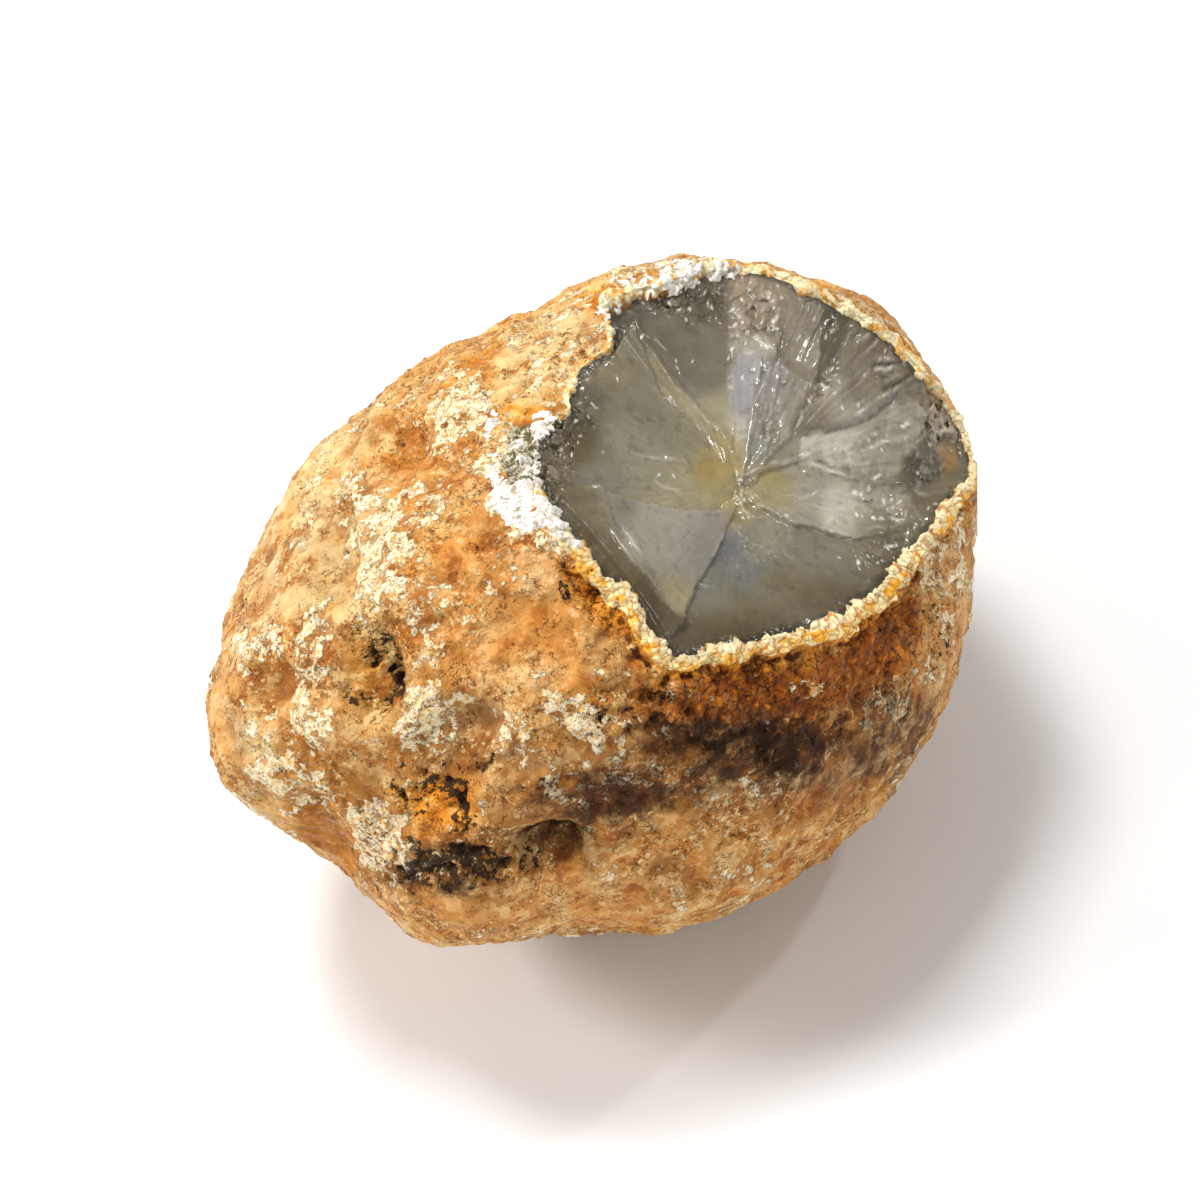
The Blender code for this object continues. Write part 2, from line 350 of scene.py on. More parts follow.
# Where the rind is made of cream grains: x, y, half sizes, turn, amount
CREAM = (
    (307, 215, 22, 16, -35, 0.95), (286, 203, 14, 5, -35, 0.5), (270, 298, 16, 32, 14, 1.0), (250, 275, 6, 22, 5, 0.9),
    (282, 268, 20, 12, -30, 0.7), (226, 262, 6, 16, 35, 0.6), (214, 295, 6, 16, 25, 0.6), (302, 262, 12, 8, 0, 0.4),
    (195, 346, 13, 12, 0, 0.85), (186, 366, 5, 18, 8, 0.5), (227, 352, 7, 30, 6, 0.85), (229, 393, 12, 12, 0, 1.0),
    (210, 420, 15, 12, 20, 1.0), (231, 430, 10, 10, 30, 0.8), (268, 456, 14, 22, -28, 1.0), (295, 384, 15, 20, 10, 1.0),
    (276, 392, 6, 10, 0, 0.5), (342, 394, 9, 14, -20, 0.75), (380, 388, 30, 9, 38, 0.85), (398, 392, 12, 10, 0, 0.7),
    (371, 428, 11, 8, 0, 0.8), (423, 420, 12, 7, 0, 0.8), (352, 364, 10, 6, 0, 0.4), (294, 356, 14, 8, 20, 0.55),
    (334, 246, 12, 28, 8, 0.9), (322, 232, 12, 20, 20, 0.6), (350, 285, 28, 7, 28, 0.9), (362, 190, 20, 14, -35, 0.6),
    (350, 165, 34, 6, -28, 0.5), (392, 160, 8, 10, 0, 0.8), (300, 200, 20, 4, -35, 0.4), (552, 378, 18, 9, -35, 0.75),
    (540, 392, 18, 6, -30, 0.5), (563, 365, 10, 6, -45, 0.6), (585, 300, 6, 40, 4, 0.8), (306, 454, 10, 5, 0, 0.35),
    (574, 302, 9, 16, 22, 0.8),
    (328, 436, 8, 6, 0, 0.4), (512, 378, 16, 6, -10, 0.3), (452, 392, 18, 10, 0, 0.3), (438, 372, 14, 5, 0, 0.45),
    (404, 365, 20, 5, 20, 0.35), (262, 405, 12, 6, 0, 0.3), (430, 130, 46, 6, -4, 0.8), (540, 162, 30, 6, 40, 0.7),
    (578, 205, 7, 22, -25, 0.6), (596, 262, 4, 30, 0, 0.4), (372, 150, 20, 5, -25, 0.5), (326, 268, 10, 8, 0, 0.6),
)
# Where it has black pits: x, y, half sizes, turn, amount
PITTED = (
    (270, 369, 10, 20, -12, 1.02), (260, 352, 11, 9, 0, 0.82), (256, 378, 10, 9, 0, 0.78), (300, 432, 24, 14, 0, 0.80),
    (268, 383, 11, 7, 15, 0.88), (246, 362, 6, 12, 10, 0.6),
    (280, 428, 10, 8, 0, 0.7), (312, 446, 14, 7, 0, 0.8), (296, 462, 20, 10, -8, 0.9), (385, 340, 14, 8, 40, 0.45),
    (304, 430, 4, 4, 0, 1.05), (303, 443, 4, 4, 0, 1.0), (303, 470, 28, 12, -8, 1.25), (324, 470, 16, 9, 0, 1.15),
    (575, 340, 9, 44, 5, 0.62), (350, 470, 14, 8, 0, 0.8), (440, 412, 24, 8, 0, 0.5), (286, 458, 8, 6, 0, 1.0),
    (319, 414, 22, 8, 0, 0.75), (352, 425, 26, 8, 10, 0.55), (366, 453, 17, 6, -8, 1.0), (398, 386, 14, 16, 20, 0.8),
    (422, 377, 9, 5, 0, 0.9), (250, 345, 6, 6, 0, 0.55), (216, 395, 5, 7, 0, 0.5), (186, 376, 3, 14, 5, 0.6),
    (370, 312, 4, 16, -6, 0.85), (383, 310, 8, 6, 0, 0.6), (476, 408, 14, 9, 0, 0.85), (450, 395, 30, 14, 0, 0.45),
    (318, 296, 5, 4, 0, 0.8), (303, 337, 4, 3, -30, 0.8), (304, 316, 3, 3, 0, 0.6), (325, 342, 6, 5, 0, 0.5),
    (286, 398, 5, 5, 0, 0.5), (288, 412, 12, 6, 10, 0.55), (520, 392, 24, 10, -20, 0.5), (556, 366, 10, 5, -30, 0.5),
    (268, 226, 4, 4, 0, 0.5), (272, 238, 4, 4, 0, 0.6), (287, 248, 4, 4, 0, 0.5), (305, 248, 4, 4, 0, 0.45),
    (339, 202, 8, 3, -38, 0.9), (329, 214, 3, 6, 10, 0.8), (393, 158, 6, 5, 0, 0.8), (372, 181, 5, 3, 0, 0.5),
    (256, 292, 4, 5, 0, 0.5), (242, 296, 3, 8, 0, 0.5), (213, 305, 6, 4, -30, 0.55), (271, 324, 5, 4, 0, 0.6),
    (350, 258, 4, 6, 0, 0.6), (410, 398, 20, 5, 0, 0.5), (230, 448, 8, 3, 25, 0.4), (365, 178, 14, 10, -30, 0.35),
    (570, 360, 16, 24, 0, 0.35), (392, 400, 8, 6, 0, 0.75), (346, 153, 12, 2.5, -28, 0.8),
)
# Where it is worn smooth
SMOOTH = (
    (322, 330, 40, 26, 0, 0.8), (234, 452, 10, 24, -33, 1.0), (206, 372, 9, 14, 0, 0.9), (321, 391, 14, 12, 20, 0.9),
    (188, 398, 8, 18, 0, 0.85), (384, 352, 24, 14, 0, 0.4), (352, 304, 20, 16, 0, 0.7), (238, 304, 12, 26, 14, 0.85),
    (236, 240, 12, 30, 38, 0.7), (277, 228, 9, 12, -30, 0.7), (314, 188, 20, 6, -38, 0.9), (352, 414, 16, 9, 20, 0.7),
    (400, 430, 28, 9, -6, 0.8), (320, 160, 40, 6, -32, 0.6), (208, 436, 8, 18, -38, 0.7), (584, 320, 10, 50, 5, 0.4),
)
# Places that go in (+) or stand out (-), mm
DENTS = (
    (261, 366, 19, 24, -12, 1.5), (268, 370, 10, 15, -14, 0.4), (321, 390, 17, 14, 10, 1.4),
    (208, 372, 10, 15, 12, 1.1), (240, 448, 9, 22, -33, 0.8), (364, 456, 22, 8, -8, 1.9), (222, 466, 34, 12, 35, -0.8),
    (277, 231, 11, 15, -35, 1.2), (262, 222, 18, 5, -42, -0.6), (238, 300, 13, 28, 12, 0.9),
    (300, 338, 22, 7, -32, 0.5), (352, 340, 14, 20, 20, 0.4), (226, 330, 8, 30, 6, -0.5),
    (282, 300, 16, 30, 14, -0.5), (296, 262, 22, 8, -30, -0.3), (240, 392, 14, 10, 20, -0.5),
    (430, 400, 24, 10, 0, 0.5), (500, 395, 30, 10, -16, 0.4), (572, 340, 8, 40, 10, 0.4),
    (303, 470, 26, 10, -8, 0.6), (292, 384, 9, 14, 20, -0.35), (348, 392, 8, 14, -20, -0.4),
    (320, 414, 18, 8, 0, 0.45), (302, 434, 16, 9, 10, 0.4), (330, 304, 18, 12, 0, -0.3),
    (320, 346, 16, 9, -30, 0.35), (388, 318, 20, 5, 46, 0.5), (470, 372, 50, 8, -12, 0.3),
    (192, 352, 9, 10, 0, -0.35), (252, 410, 16, 10, 20, -0.3), (340, 330, 10, 14, 0, 0.25),
    (298, 258, 12, 6, -30, 0.35), (422, 378, 12, 5, 0, 0.9), (382, 366, 12, 6, 0, -0.3),
    (340, 202, 10, 3, -38, 0.8), (329, 214, 3, 7, 10, 0.5), (352, 414, 12, 7, 20, 0.4),
    (400, 432, 26, 7, -6, 0.3), (372, 430, 10, 6, 0, -0.3), (252, 280, 5, 26, 4, -0.35),
    (270, 300, 10, 26, 14, -0.25), (548, 348, 10, 26, 25, 0.3), (386, 146, 10, 5, -20, -0.5),
    (346, 155, 12, 2.5, -28, 0.6), (502, 146, 10, 4, 15, -0.4), (214, 420, 10, 8, 0, -0.3),
)

# The broken face's own pieces. Each has its outline, the plane through three (x, y, height in mm)
# over the dished face, its colours as (x, y, colour), roughness, and how fibrous it is.
FACETS = {
    "left": ([(330, 222), (372, 212), (371, 200), (385, 180), (404, 172), (413, 190), (423, 207), (440, 226),
              (455, 238), (464, 258), (452, 272), (425, 269), (408, 264), (388, 259), (366, 258), (340, 262)],
             ((366, 235, -0.75), (412, 200, -0.05), (458, 262, 0.0)),
             [(372, 235, "moss"), (378, 215, "olive"), (393, 192, "sagelight"), (400, 225, "sage"), (420, 245, "sage"),
              (440, 250, "sagelight"), (388, 250, "slate"), (410, 205, "sage")], 0.20, 0.12),
    "streak": ([(385, 180), (398, 165), (406, 160), (416, 180), (430, 200), (446, 218), (459, 232), (464, 252),
                (455, 238), (440, 226), (423, 207), (413, 190), (404, 172)],
               ((404, 168, -0.45), (440, 208, 0.10), (459, 240, 0.05)),
               [(404, 172, "bark"), (414, 186, "sand"), (430, 210, "sand"), (450, 230, "sand")], 0.24, 0.5),
    # its ink and olive are partly the chalcedony's dark tone, partly painted shade of this deeper part turned away from
    # the light
    "upper_left": ([(370, 150), (400, 120), (455, 120), (462, 150), (461, 178), (459, 205), (459, 232),
                    (446, 218), (430, 200), (416, 180), (406, 160), (398, 165)],
                   ((395, 158, -1.15), (452, 150, -1.05), (456, 226, 0.0)),
                   [(400, 156, "ink"), (420, 150, "olive"), (418, 170, "olive"), (440, 160, "olive"), (445, 190, "bark"),
                    (452, 215, "sagelight"), (434, 192, "bark"), (454, 170, "bark")], 0.40, 0.0),
    "tongue": ([(459, 205), (460, 190), (466, 183), (474, 182), (478, 186), (477, 194), (472, 210),
                (470, 222), (470, 242), (464, 256), (459, 236)],
               ((472, 184, 0.10), (461, 200, 0.05), (466, 246, 0.0)),
               [(468, 190, "pearl"), (465, 208, "pearl"), (464, 226, "frost"), (465, 244, "sand")], 0.16, 0.15),
    "violet": ([(478, 186), (488, 183), (498, 188), (507, 196), (502, 213), (494, 226), (486, 234), (478, 242),
                (470, 256), (470, 222), (472, 210), (477, 194)],
               ((480, 190, -0.15), (505, 198, -0.55), (473, 246, -0.10)),
               [(484, 194, "violet"), (500, 200, "smoke"), (490, 214, "smoke"), (478, 232, "slate")], 0.34, 0.06),
    "crumb": ([(461, 150), (456, 125), (468, 120), (492, 128), (490, 146), (490, 165), (486, 182), (478, 184), (466, 183),
               (461, 178)],
              ((466, 140, -0.75), (488, 142, -0.75), (474, 180, 0.05)),
              [(468, 140, "flesh"), (480, 140, "crumb"), (470, 158, "crumb"), (482, 165, "bark"), (474, 178, "mist")],
              0.45, 0.0),
    "upper_fibres": ([(490, 146), (492, 124), (516, 130), (512, 152), (511, 184), (507, 196), (498, 188),
                      (487, 182), (490, 165)],
                     ((492, 150, -0.95), (511, 152, -1.25), (498, 192, -0.30)),
                     [(496, 152, "smoke"), (500, 170, "smoke"), (506, 185, "smoke"), (492, 178, "bark")], 0.38, 0.5),
    "trough": ([(512, 152), (516, 130), (545, 150), (530, 163), (524, 176), (521, 192), (511, 207), (502, 213),
                (507, 196), (511, 184)],
               ((515, 155, -1.45), (528, 163, -1.50), (504, 210, -0.55)),
               [(520, 160, "ink"), (518, 176, "ink"), (510, 198, "smoke")], 0.22, 0.5),
    "right_field": ([(530, 163), (545, 150), (565, 170), (575, 195), (558, 203), (547, 213), (530, 223),
                     (512, 226), (494, 228), (502, 213), (511, 207), (521, 192), (524, 176)],
                    ((534, 170, -0.85), (560, 196, -0.95), (498, 226, -0.10)),
                    [(534, 176, "smoke"), (548, 186, "smoke"), (530, 196, "smoke"), (528, 212, "mist"), (508, 218, "smoke"),
                     (556, 196, "bark"), (520, 200, "mist")], 0.28, 0.5),
    "bright": ([(512, 226), (530, 223), (547, 213), (558, 203), (568, 218), (563, 231), (557, 241), (546, 256),
                (530, 256), (514, 252), (501, 243), (503, 232)],
               ((508, 238, 0.15), (560, 212, -0.35), (540, 254, 0.30)),
               [(512, 240, "frost"), (526, 236, "frost"), (545, 226, "mist"), (556, 214, "mist"), (540, 250, "mist")],
               0.24, 0.45),
    "right_low": ([(501, 243), (514, 252), (530, 256), (546, 256), (560, 262), (566, 274), (556, 284), (531, 288),
                   (512, 283), (493, 279), (482, 273), (470, 262), (478, 250), (492, 244)],
                  ((484, 262, 0.05), (562, 264, -0.55), (528, 286, 0.05)),
                  [(484, 256, "sagelight"), (498, 262, "mist"), (522, 270, "frost"), (548, 268, "mist"), (550, 280, "mud"),
                   (500, 275, "mist")], 0.18, 0.12),
    "right_dark": ([(558, 203), (575, 195), (600, 205), (610, 260), (590, 275), (566, 274), (560, 262),
                    (546, 256), (557, 241), (563, 231), (568, 218)],
                   ((566, 212, -0.80), (588, 235, -1.10), (562, 264, -0.85)),
                   [(568, 222, "bark"), (576, 218, "flesh"), (565, 250, "ink"), (582, 238, "crumb"), (584, 256, "mud"),
                    (572, 264, "mud")], 0.30, 0.3),
    "low": ([(458, 282), (464, 270), (474, 268), (482, 273), (493, 279), (512, 283), (531, 288), (556, 284),
             (566, 274), (590, 275), (600, 300), (560, 340), (520, 360), (480, 372), (438, 375),
             (424, 350), (432, 336), (436, 331), (442, 316), (449, 302), (457, 288)],
            ((460, 288, -0.55), (440, 350, -0.95), (562, 292, -0.75)),
            [(462, 292, "blue"), (470, 306, "blue"), (480, 285, "sage"), (510, 296, "slate"), (500, 318, "mud"),
             (470, 330, "mud"), (446, 340, "moss"), (545, 300, "mud"), (525, 305, "slate"), (452, 318, "slate")], 0.14, 0.0),
    "wedge": ([(464, 270), (458, 282), (457, 288), (449, 302), (442, 316), (436, 331), (432, 330), (409, 302),
               (396, 284), (388, 259), (408, 264), (425, 269), (452, 272)],
              ((392, 264, -0.20), (435, 331, -0.20), (461, 276, 0.0)),
              [(398, 272, "slate"), (415, 280, "lilac"), (440, 284, "lilac"), (452, 278, "lilac"), (440, 300, "lilac"),
               (420, 302, "mist"), (428, 318, "tip"), (434, 326, "tip"), (408, 290, "mist")], 0.15, 0.0),
    "low_left": ([(335, 262), (366, 258), (388, 259), (396, 284), (409, 302), (432, 330), (436, 331), (432, 336),
                  (424, 350), (424, 372), (392, 345), (350, 300), (335, 280)],
                 ((366, 266, -0.22), (396, 300, -0.30), (428, 342, -0.30)),
                 [(372, 268, "moss"), (388, 272, "mud"), (384, 290, "moss"), (405, 312, "mud"), (400, 318, "moss"),
                  (416, 330, "moss"), (428, 345, "mud")],
                 0.24, 0.1),
}
# How softly some of them turn into the next, px
SOFT = {"streak": 3.5, "upper_left": 2.4, "tongue": 2.6, "violet": 2.8, "right_field": 1.5, "upper_fibres": 2.0,
        "crumb": 2.6, "left": 1.8, "low_left": 1.6, "bright": 1.6}
# Raised (+) or cut (-) lines on it: points, height mm, half width px, paint (+ pale, - dark).
# The pale paint is partly white crushed chalcedony, partly painted highlight; the dark paint in cut lines is painted
# shade.
LINES = (
    ([(378, 256), (391, 260), (408, 264), (425, 269), (438, 270), (455, 273)], 0.12, 1.0, 0.40),
    ([(405, 236), (417, 239.5), (436, 244)], 0.10, 0.9, 0.40),
    ([(419, 254), (424, 257), (434, 261)], 0.12, 0.9, 0.45),
    ([(420, 204), (424, 209), (432, 214)], 0.22, 1.2, 0.9),
    ([(432, 200), (440, 212), (450, 224)], 0.08, 2.4, 0.15),
    ([(412, 188), (420, 202), (436, 220), (452, 234)], 0.14, 4.0, 0.12),
    ([(476, 192), (474, 206), (471, 220)], 0.05, 1.0, 0.25), ([(489, 190), (486, 206), (482, 222)], 0.05, 0.9, 0.20),
    ([(516, 232), (528, 230), (540, 224)], 0.08, 1.2, 0.45), ([(524, 242), (534, 240), (546, 232)], 0.08, 1.2, 0.40),
    ([(512, 246), (526, 247), (540, 246)], 0.08, 1.0, 0.45), ([(548, 236), (556, 232)], 0.10, 1.0, 0.6),
    ([(500, 268), (516, 271), (530, 271)], 0.06, 1.0, 0.30), ([(536, 282), (550, 281), (560, 277)], 0.08, 1.0, 0.45),
    ([(486, 262), (500, 264), (512, 263)], 0.05, 1.0, 0.25), ([(470, 250), (478, 238), (482, 226)], 0.06, 1.0, 0.35),
    ([(417, 170), (424, 177)], 0.18, 0.9, 0.8), ([(392, 176), (400, 184)], 0.08, 0.9, 0.3),
    ([(430, 186), (432, 191)], 0.18, 0.8, 0.7),
    ([(467, 253), (474, 249), (480, 247)], 0.20, 1.0, 0.7),
    ([(482, 246), (490, 244), (500, 243)], 0.25, 1.1, 0.8), ([(499, 243), (509, 237)], 0.20, 0.9, 0.8),
    ([(500, 243.5), (507, 248), (516, 253), (524, 255)], 0.25, 1.3, 0.85),
    ([(504, 245), (511, 248), (514, 251)], -0.25, 1.0, -0.7),
    ([(466, 258), (466, 266), (470, 272), (476, 275), (481, 275)], 0.20, 0.8, 0.8),
    ([(474, 268), (481, 271)], 0.15, 0.8, 0.7), ([(470, 262), (474, 266)], 0.15, 0.8, 0.5),
    ([(395, 283.5), (401, 293), (409, 303)], 0.22, 1.0, 0.85), ([(401, 279), (406, 288), (412, 295)], 0.20, 0.9, 0.8),
    ([(416, 313), (424, 322), (433, 331)], 0.10, 1.2, 0.35), ([(457, 285), (450, 300), (446, 308)], 0.10, 0.8, 0.5),
    ([(444, 310), (438, 324), (436, 331)], -0.10, 0.9, -0.4),
    ([(531, 218), (540, 211)], 0.18, 1.0, 0.9), ([(551, 228), (558, 223)], 0.18, 1.1, 0.95),
    ([(512, 282.5), (521, 285), (532, 287.5)], 0.12, 1.0, 0.6), ([(517, 276), (512, 282)], 0.12, 0.9, 0.4),
    ([(483, 220), (482, 230), (479, 240)], 0.20, 1.0, 0.8),
    ([(462, 222), (461, 240)], -0.12, 0.9, -0.3), ([(501, 214), (497, 226)], 0.15, 0.9, 0.6),
    ([(503, 210), (497, 222), (494, 228)], -0.25, 1.4, -0.4),
    ([(503, 226), (522, 225), (536, 219), (549, 210), (558, 202)], -0.35, 2.0, -0.5),
    ([(514, 254), (530, 258), (545, 258), (560, 262)], -0.30, 1.8, -0.5),
    ([(478, 184), (477.5, 193), (473, 207)], -0.20, 1.1, -0.6),
    ([(541, 190), (548, 191), (553, 188)], 0.25, 1.3, 0.95), ([(541, 186), (548, 185), (556, 186)], 0.18, 1.0, 0.6),
    ([(540, 188), (549, 187.5), (556, 188)], -0.25, 1.1, -0.85),
    ([(545, 203), (553, 200), (562, 194)], -0.30, 1.5, -0.8), ([(546, 199), (556, 194)], 0.15, 0.9, 0.5),
    ([(545, 207), (553, 202), (558, 200)], 0.15, 1.1, 0.6), ([(550, 214), (553, 210)], 0.20, 1.1, 0.9),
    ([(530, 178), (539, 170)], 0.15, 1.0, 0.45), ([(528, 174), (536, 164)], -0.20, 1.1, -0.5),
    ([(535, 184), (544, 173)], 0.15, 0.9, 0.4), ([(537, 180), (545, 168)], -0.15, 0.9, -0.5),
    ([(517, 173), (521, 164)], 0.12, 0.9, 0.5), ([(569, 233), (578, 227), (585, 227)], 0.35, 1.4, 0.95),
    ([(577, 218), (579, 225), (583, 229)], 0.35, 1.1, 0.9), ([(574, 221), (578, 230), (571, 235)], -0.40, 1.6, -0.8),
    ([(583, 214), (586, 224)], -0.3, 1.6, -0.9), ([(558, 236), (564, 230), (569, 220)], -0.30, 1.4, -0.6),
    ([(560, 228), (565, 226), (564, 232), (558, 238)], 0.15, 1.0, 0.5), ([(566, 222), (571, 214)], 0.12, 1.0, 0.5),
    ([(560, 258), (568, 262), (574, 263)], 0.12, 1.2, 0.5), ([(586, 216), (587, 232), (586, 246)], -0.3, 1.3, -0.8),
    ([(540, 276), (547, 277)], 0.15, 1.0, 0.9), ([(549, 276), (556, 278)], 0.15, 0.9, 0.85),
    ([(560, 270), (558, 277)], 0.10, 0.9, 0.5), ([(466, 183), (473, 182)], 0.12, 1.0, 0.5),
    ([(478, 177), (484, 180)], 0.12, 1.1, 0.7), ([(486, 158), (484, 168)], 0.15, 1.0, 0.7),
)
# Painted glints: small raised spots painted near white as highlights: x, y, radius px
GLINTS = (
    (402, 169, 1.3), (405, 167, 0.9), (413, 170, 1.1), (410, 172, 0.9), (396, 176, 1.0), (430, 183, 0.9),
    (440, 183, 1.1), (460, 182, 0.9), (469, 170, 1.2), (396, 196, 1.0), (383, 210, 1.2), (385, 212, 0.8),
    (375, 210, 1.0), (380, 216, 0.8), (373, 219, 1.2), (376, 228, 1.0), (375, 232, 0.7), (379, 196, 0.8),
    (389, 237, 0.7), (421, 251, 0.9), (429, 252, 0.8), (472, 192, 0.9), (466, 197, 0.9), (479, 190, 0.9),
    (492, 196, 1.0), (466, 255, 1.3), (468, 266, 1.0), (469, 275, 0.9), (463, 262, 0.8), (463, 265, 0.8),
    (491, 275, 0.8), (500, 251, 0.9), (507, 262, 0.9), (530, 262, 1.6), (536, 260, 1.3), (534, 263, 1.0),
    (547, 266, 1.3), (551, 265, 0.9), (556, 267, 0.9), (531, 274, 1.0), (534, 275, 0.9), (541, 276, 1.4),
    (545, 276, 1.2), (556, 277, 1.3), (551, 292, 1.7), (549, 293, 1.0), (554, 291, 1.0), (559, 289, 0.9),
    (533, 301, 1.4), (523, 298, 0.8), (538, 298, 0.7), (543, 301, 0.6), (564, 280, 0.9), (572, 270, 0.8),
    (576, 268, 0.9), (519, 189, 1.2), (517, 196, 1.0), (514, 199, 1.5), (515, 201, 1.2), (508, 193, 0.9),
    (507, 198, 0.9), (505, 208, 1.3), (507, 206, 0.9), (522, 198, 0.9), (519, 205, 0.9), (515, 171, 1.3),
    (518, 168, 0.9), (533, 211, 1.0), (524, 213, 0.9), (547, 206, 0.8), (553, 209, 0.9), (543, 235, 1.1),
    (538, 230, 0.8), (534, 234, 0.9), (540, 240, 0.8), (540, 254, 1.4), (515, 252, 1.2), (520, 253, 0.9),
    (484, 163, 1.3), (486, 168, 0.9), (477, 164, 0.9), (481, 150, 1.2), (488, 150, 0.9), (480, 147, 0.9),
    (568, 236, 1.0), (573, 233, 1.0), (560, 252, 0.8), (583, 238, 0.7), (484, 221, 0.9), (476, 212, 0.7),
    (410, 148, 1.1), (426, 146, 1.0), (432, 150, 1.1), (438, 151, 1.2), (436, 157, 1.0), (450, 152, 1.2),
    (454, 143, 1.0), (461, 154, 1.1), (446, 143, 0.9), (420, 143, 1.0), (395, 162, 0.9), (470, 145, 1.0),
)
# Where it is broken up into small crystals: ovals, with the height of the chips in mm
CHIPS = (
    (474, 158, 14, 24, 0, 0.38), (428, 144, 28, 8, 4, 0.5), (450, 150, 14, 12, 0, 0.35),
    (513, 198, 5, 13, 30, 0.4), (518, 168, 4, 7, 20, 0.3), (548, 192, 14, 10, 30, 0.25),
    (574, 222, 13, 16, 0, 0.75), (565, 248, 12, 13, 0, 0.6), (545, 268, 20, 8, 10, 0.25),
    (532, 238, 24, 9, -10, 0.16), (556, 222, 12, 8, -30, 0.2), (544, 206, 16, 8, -25, 0.14),
    (550, 292, 18, 8, -30, 0.25), (378, 213, 8, 10, 0, 0.3), (362, 240, 9, 26, 8, 0.6),
    (395, 164, 7, 9, 0, 0.35), (520, 249, 14, 4, 15, 0.35), (481, 178, 8, 5, 0, 0.3),
    (484, 228, 4, 8, 0, 0.25), (362, 262, 8, 14, 0, 0.4), (470, 262, 10, 12, 0, 0.12),
    (540, 254, 10, 3, 0, 0.25),
)

RIND_GRID = 129
CORE_GRID = 300


def to_linear(c):
    c = np.asarray(c, float)
    return np.where(c <= 0.04045, c / 12.92, ((c + 0.055) / 1.055) ** 2.4)


def blend_hue(colour, name, amount):
    hue = HUES[name] if isinstance(name, str) else name
    return colour + (np.array(hue) - colour) * np.clip(amount, 0, 1)[:, None]


# ---------------------------------------------------------------- the rind
def rind_surface():
    d, quads = six_grids(RIND_GRID)
    d = unit(d + 0.36 * unit(unit(EYE) + np.array([-0.30, 0.0, -0.15])))   # finer where the picture looks
    out, about = face_polar(d)
    edge = ragged_edge(about)
    snap = np.abs(out - edge) < 0.21 * 129 / RIND_GRID
    d[snap] = from_polar(edge[snap], about[snap])
    out = np.where(snap, edge, out)
    outside = out >= edge - 1e-9
    rim = body(from_polar(edge, about))
    r = np.where(outside, body(d), bowl(np.minimum(out, edge), edge, rim))
    p0 = d * r[:, None]
    normal = corner_normals(p0, quads)
    if (normal * d).sum() < 0:
        quads = quads[:, ::-1]
        normal = -normal
    view = unit(EYE - p0)
    front = ease((normal * view).sum(1), 0.0, 0.20)
    x, y = picture(p0)
    gap = (out - edge) * np.radians(1) * r             # mm outside the edge of the break
    h, marks, colour = skin(p0, about, gap, front, outside, x, y)
    marks["wall"] = np.where(outside, 0.0, 1.0)
    # it sinks under the piece that makes up the broken edge
    h -= 0.40 * ease(gap, -0.2, -1.0, rim_width(p0, about))
    # inside the break: a wall, then a hollow under the core
    wall = ease(gap, 0.0, -0.55)
    h = np.where(outside, h, -0.3 - 2.3 * wall - 1.0 * ease(gap, -0.5, -4.0))
    return p0 + h[:, None] * d, quads, marks, colour


def rim_width(p0, about):
    """How wide the piece is that makes up the broken edge of the rind, mm."""
    return 2.1 + 1.5 * ease(np.sin(np.radians(about - 150)), -0.2, 0.3) + 0.5 * noise(p0 / 1.3, 17)


def dome(first, wide):
    return np.sqrt(np.clip(1 - (first / wide) ** 2, 0, 1))


def rim_surface():
    """The broken edge of the rind, as a closed ring of its own with a finer mesh."""
    n = 1500
    about = np.arange(n) * 360.0 / n
    edge = ragged_edge(about)
    rim = body(from_polar(edge, about))
    width = rim_width(from_polar(edge, about) * rim[:, None], about)
    steps = [(-0.45 * (1 - t) ** 1.3, 1.7 * (1 - t), 0.0) for t in np.linspace(0, 1, 12)[:-1]]
    steps += [(0.0, 0.0, t) for t in np.linspace(0, 1, 48)]
    steps += [(0.0, 0.9, 0.95), (0.0, 1.7, 0.45)]
    rows, outs, sinks = [], [], []
    for inward, sink, t in steps:
        out = edge + np.degrees((inward + t * width) / rim)
        d = from_polar(out, about)
        r = (body(d) if inward == 0 else rim) - sink
        rows.append(d * r[:, None])
        outs.append(out)
        sinks.append(np.full(n, sink))
    count = len(steps)
    p0, out, sink = np.concatenate(rows), np.concatenate(outs), np.concatenate(sinks)
    about, edge = np.tile(about, count), np.tile(edge, count)
    i, j = np.meshgrid(np.arange(count), np.arange(n), indexing="ij")
    following, beside = (i + 1) % count, (j + 1) % n
    quads = np.stack([i * n + j, i * n + beside, following * n + beside, following * n + j], -1).reshape(-1, 4)
    d = unit(p0)
    normal = corner_normals(p0, quads)
    on_top = np.repeat(np.array([t > 0.1 and sink == 0 for _, sink, t in steps]), n)
    if (normal * d).sum(1)[on_top].sum() < 0:
        quads, normal = quads[:, ::-1], -normal
    gap = (out - edge) * np.radians(1) * np.linalg.norm(p0, axis=1)
    x, y = picture(p0)
    front = np.where(gap < 0.1, 1.0, ease((normal * unit(EYE - p0)).sum(1), -0.1, 0.15))
    h, marks, colour = skin(p0, about, gap, front, np.ones(len(gap), bool), x, y)
    h -= 0.50 * ease(gap, -0.9, 0.0, rim_width(p0, about))
    hidden = np.repeat(np.array([t > 0 and sink > 0 for _, sink, t in steps]), n)
    h = np.where(hidden, -0.3, h)
    up = ease(gap, -0.05, 0.30)[:, None]
    marks["wall"] = ease(sink, 0.35, 1.3)
    return p0 + h[:, None] * unit(d * up + normal * (1 - up)), quads, marks, colour


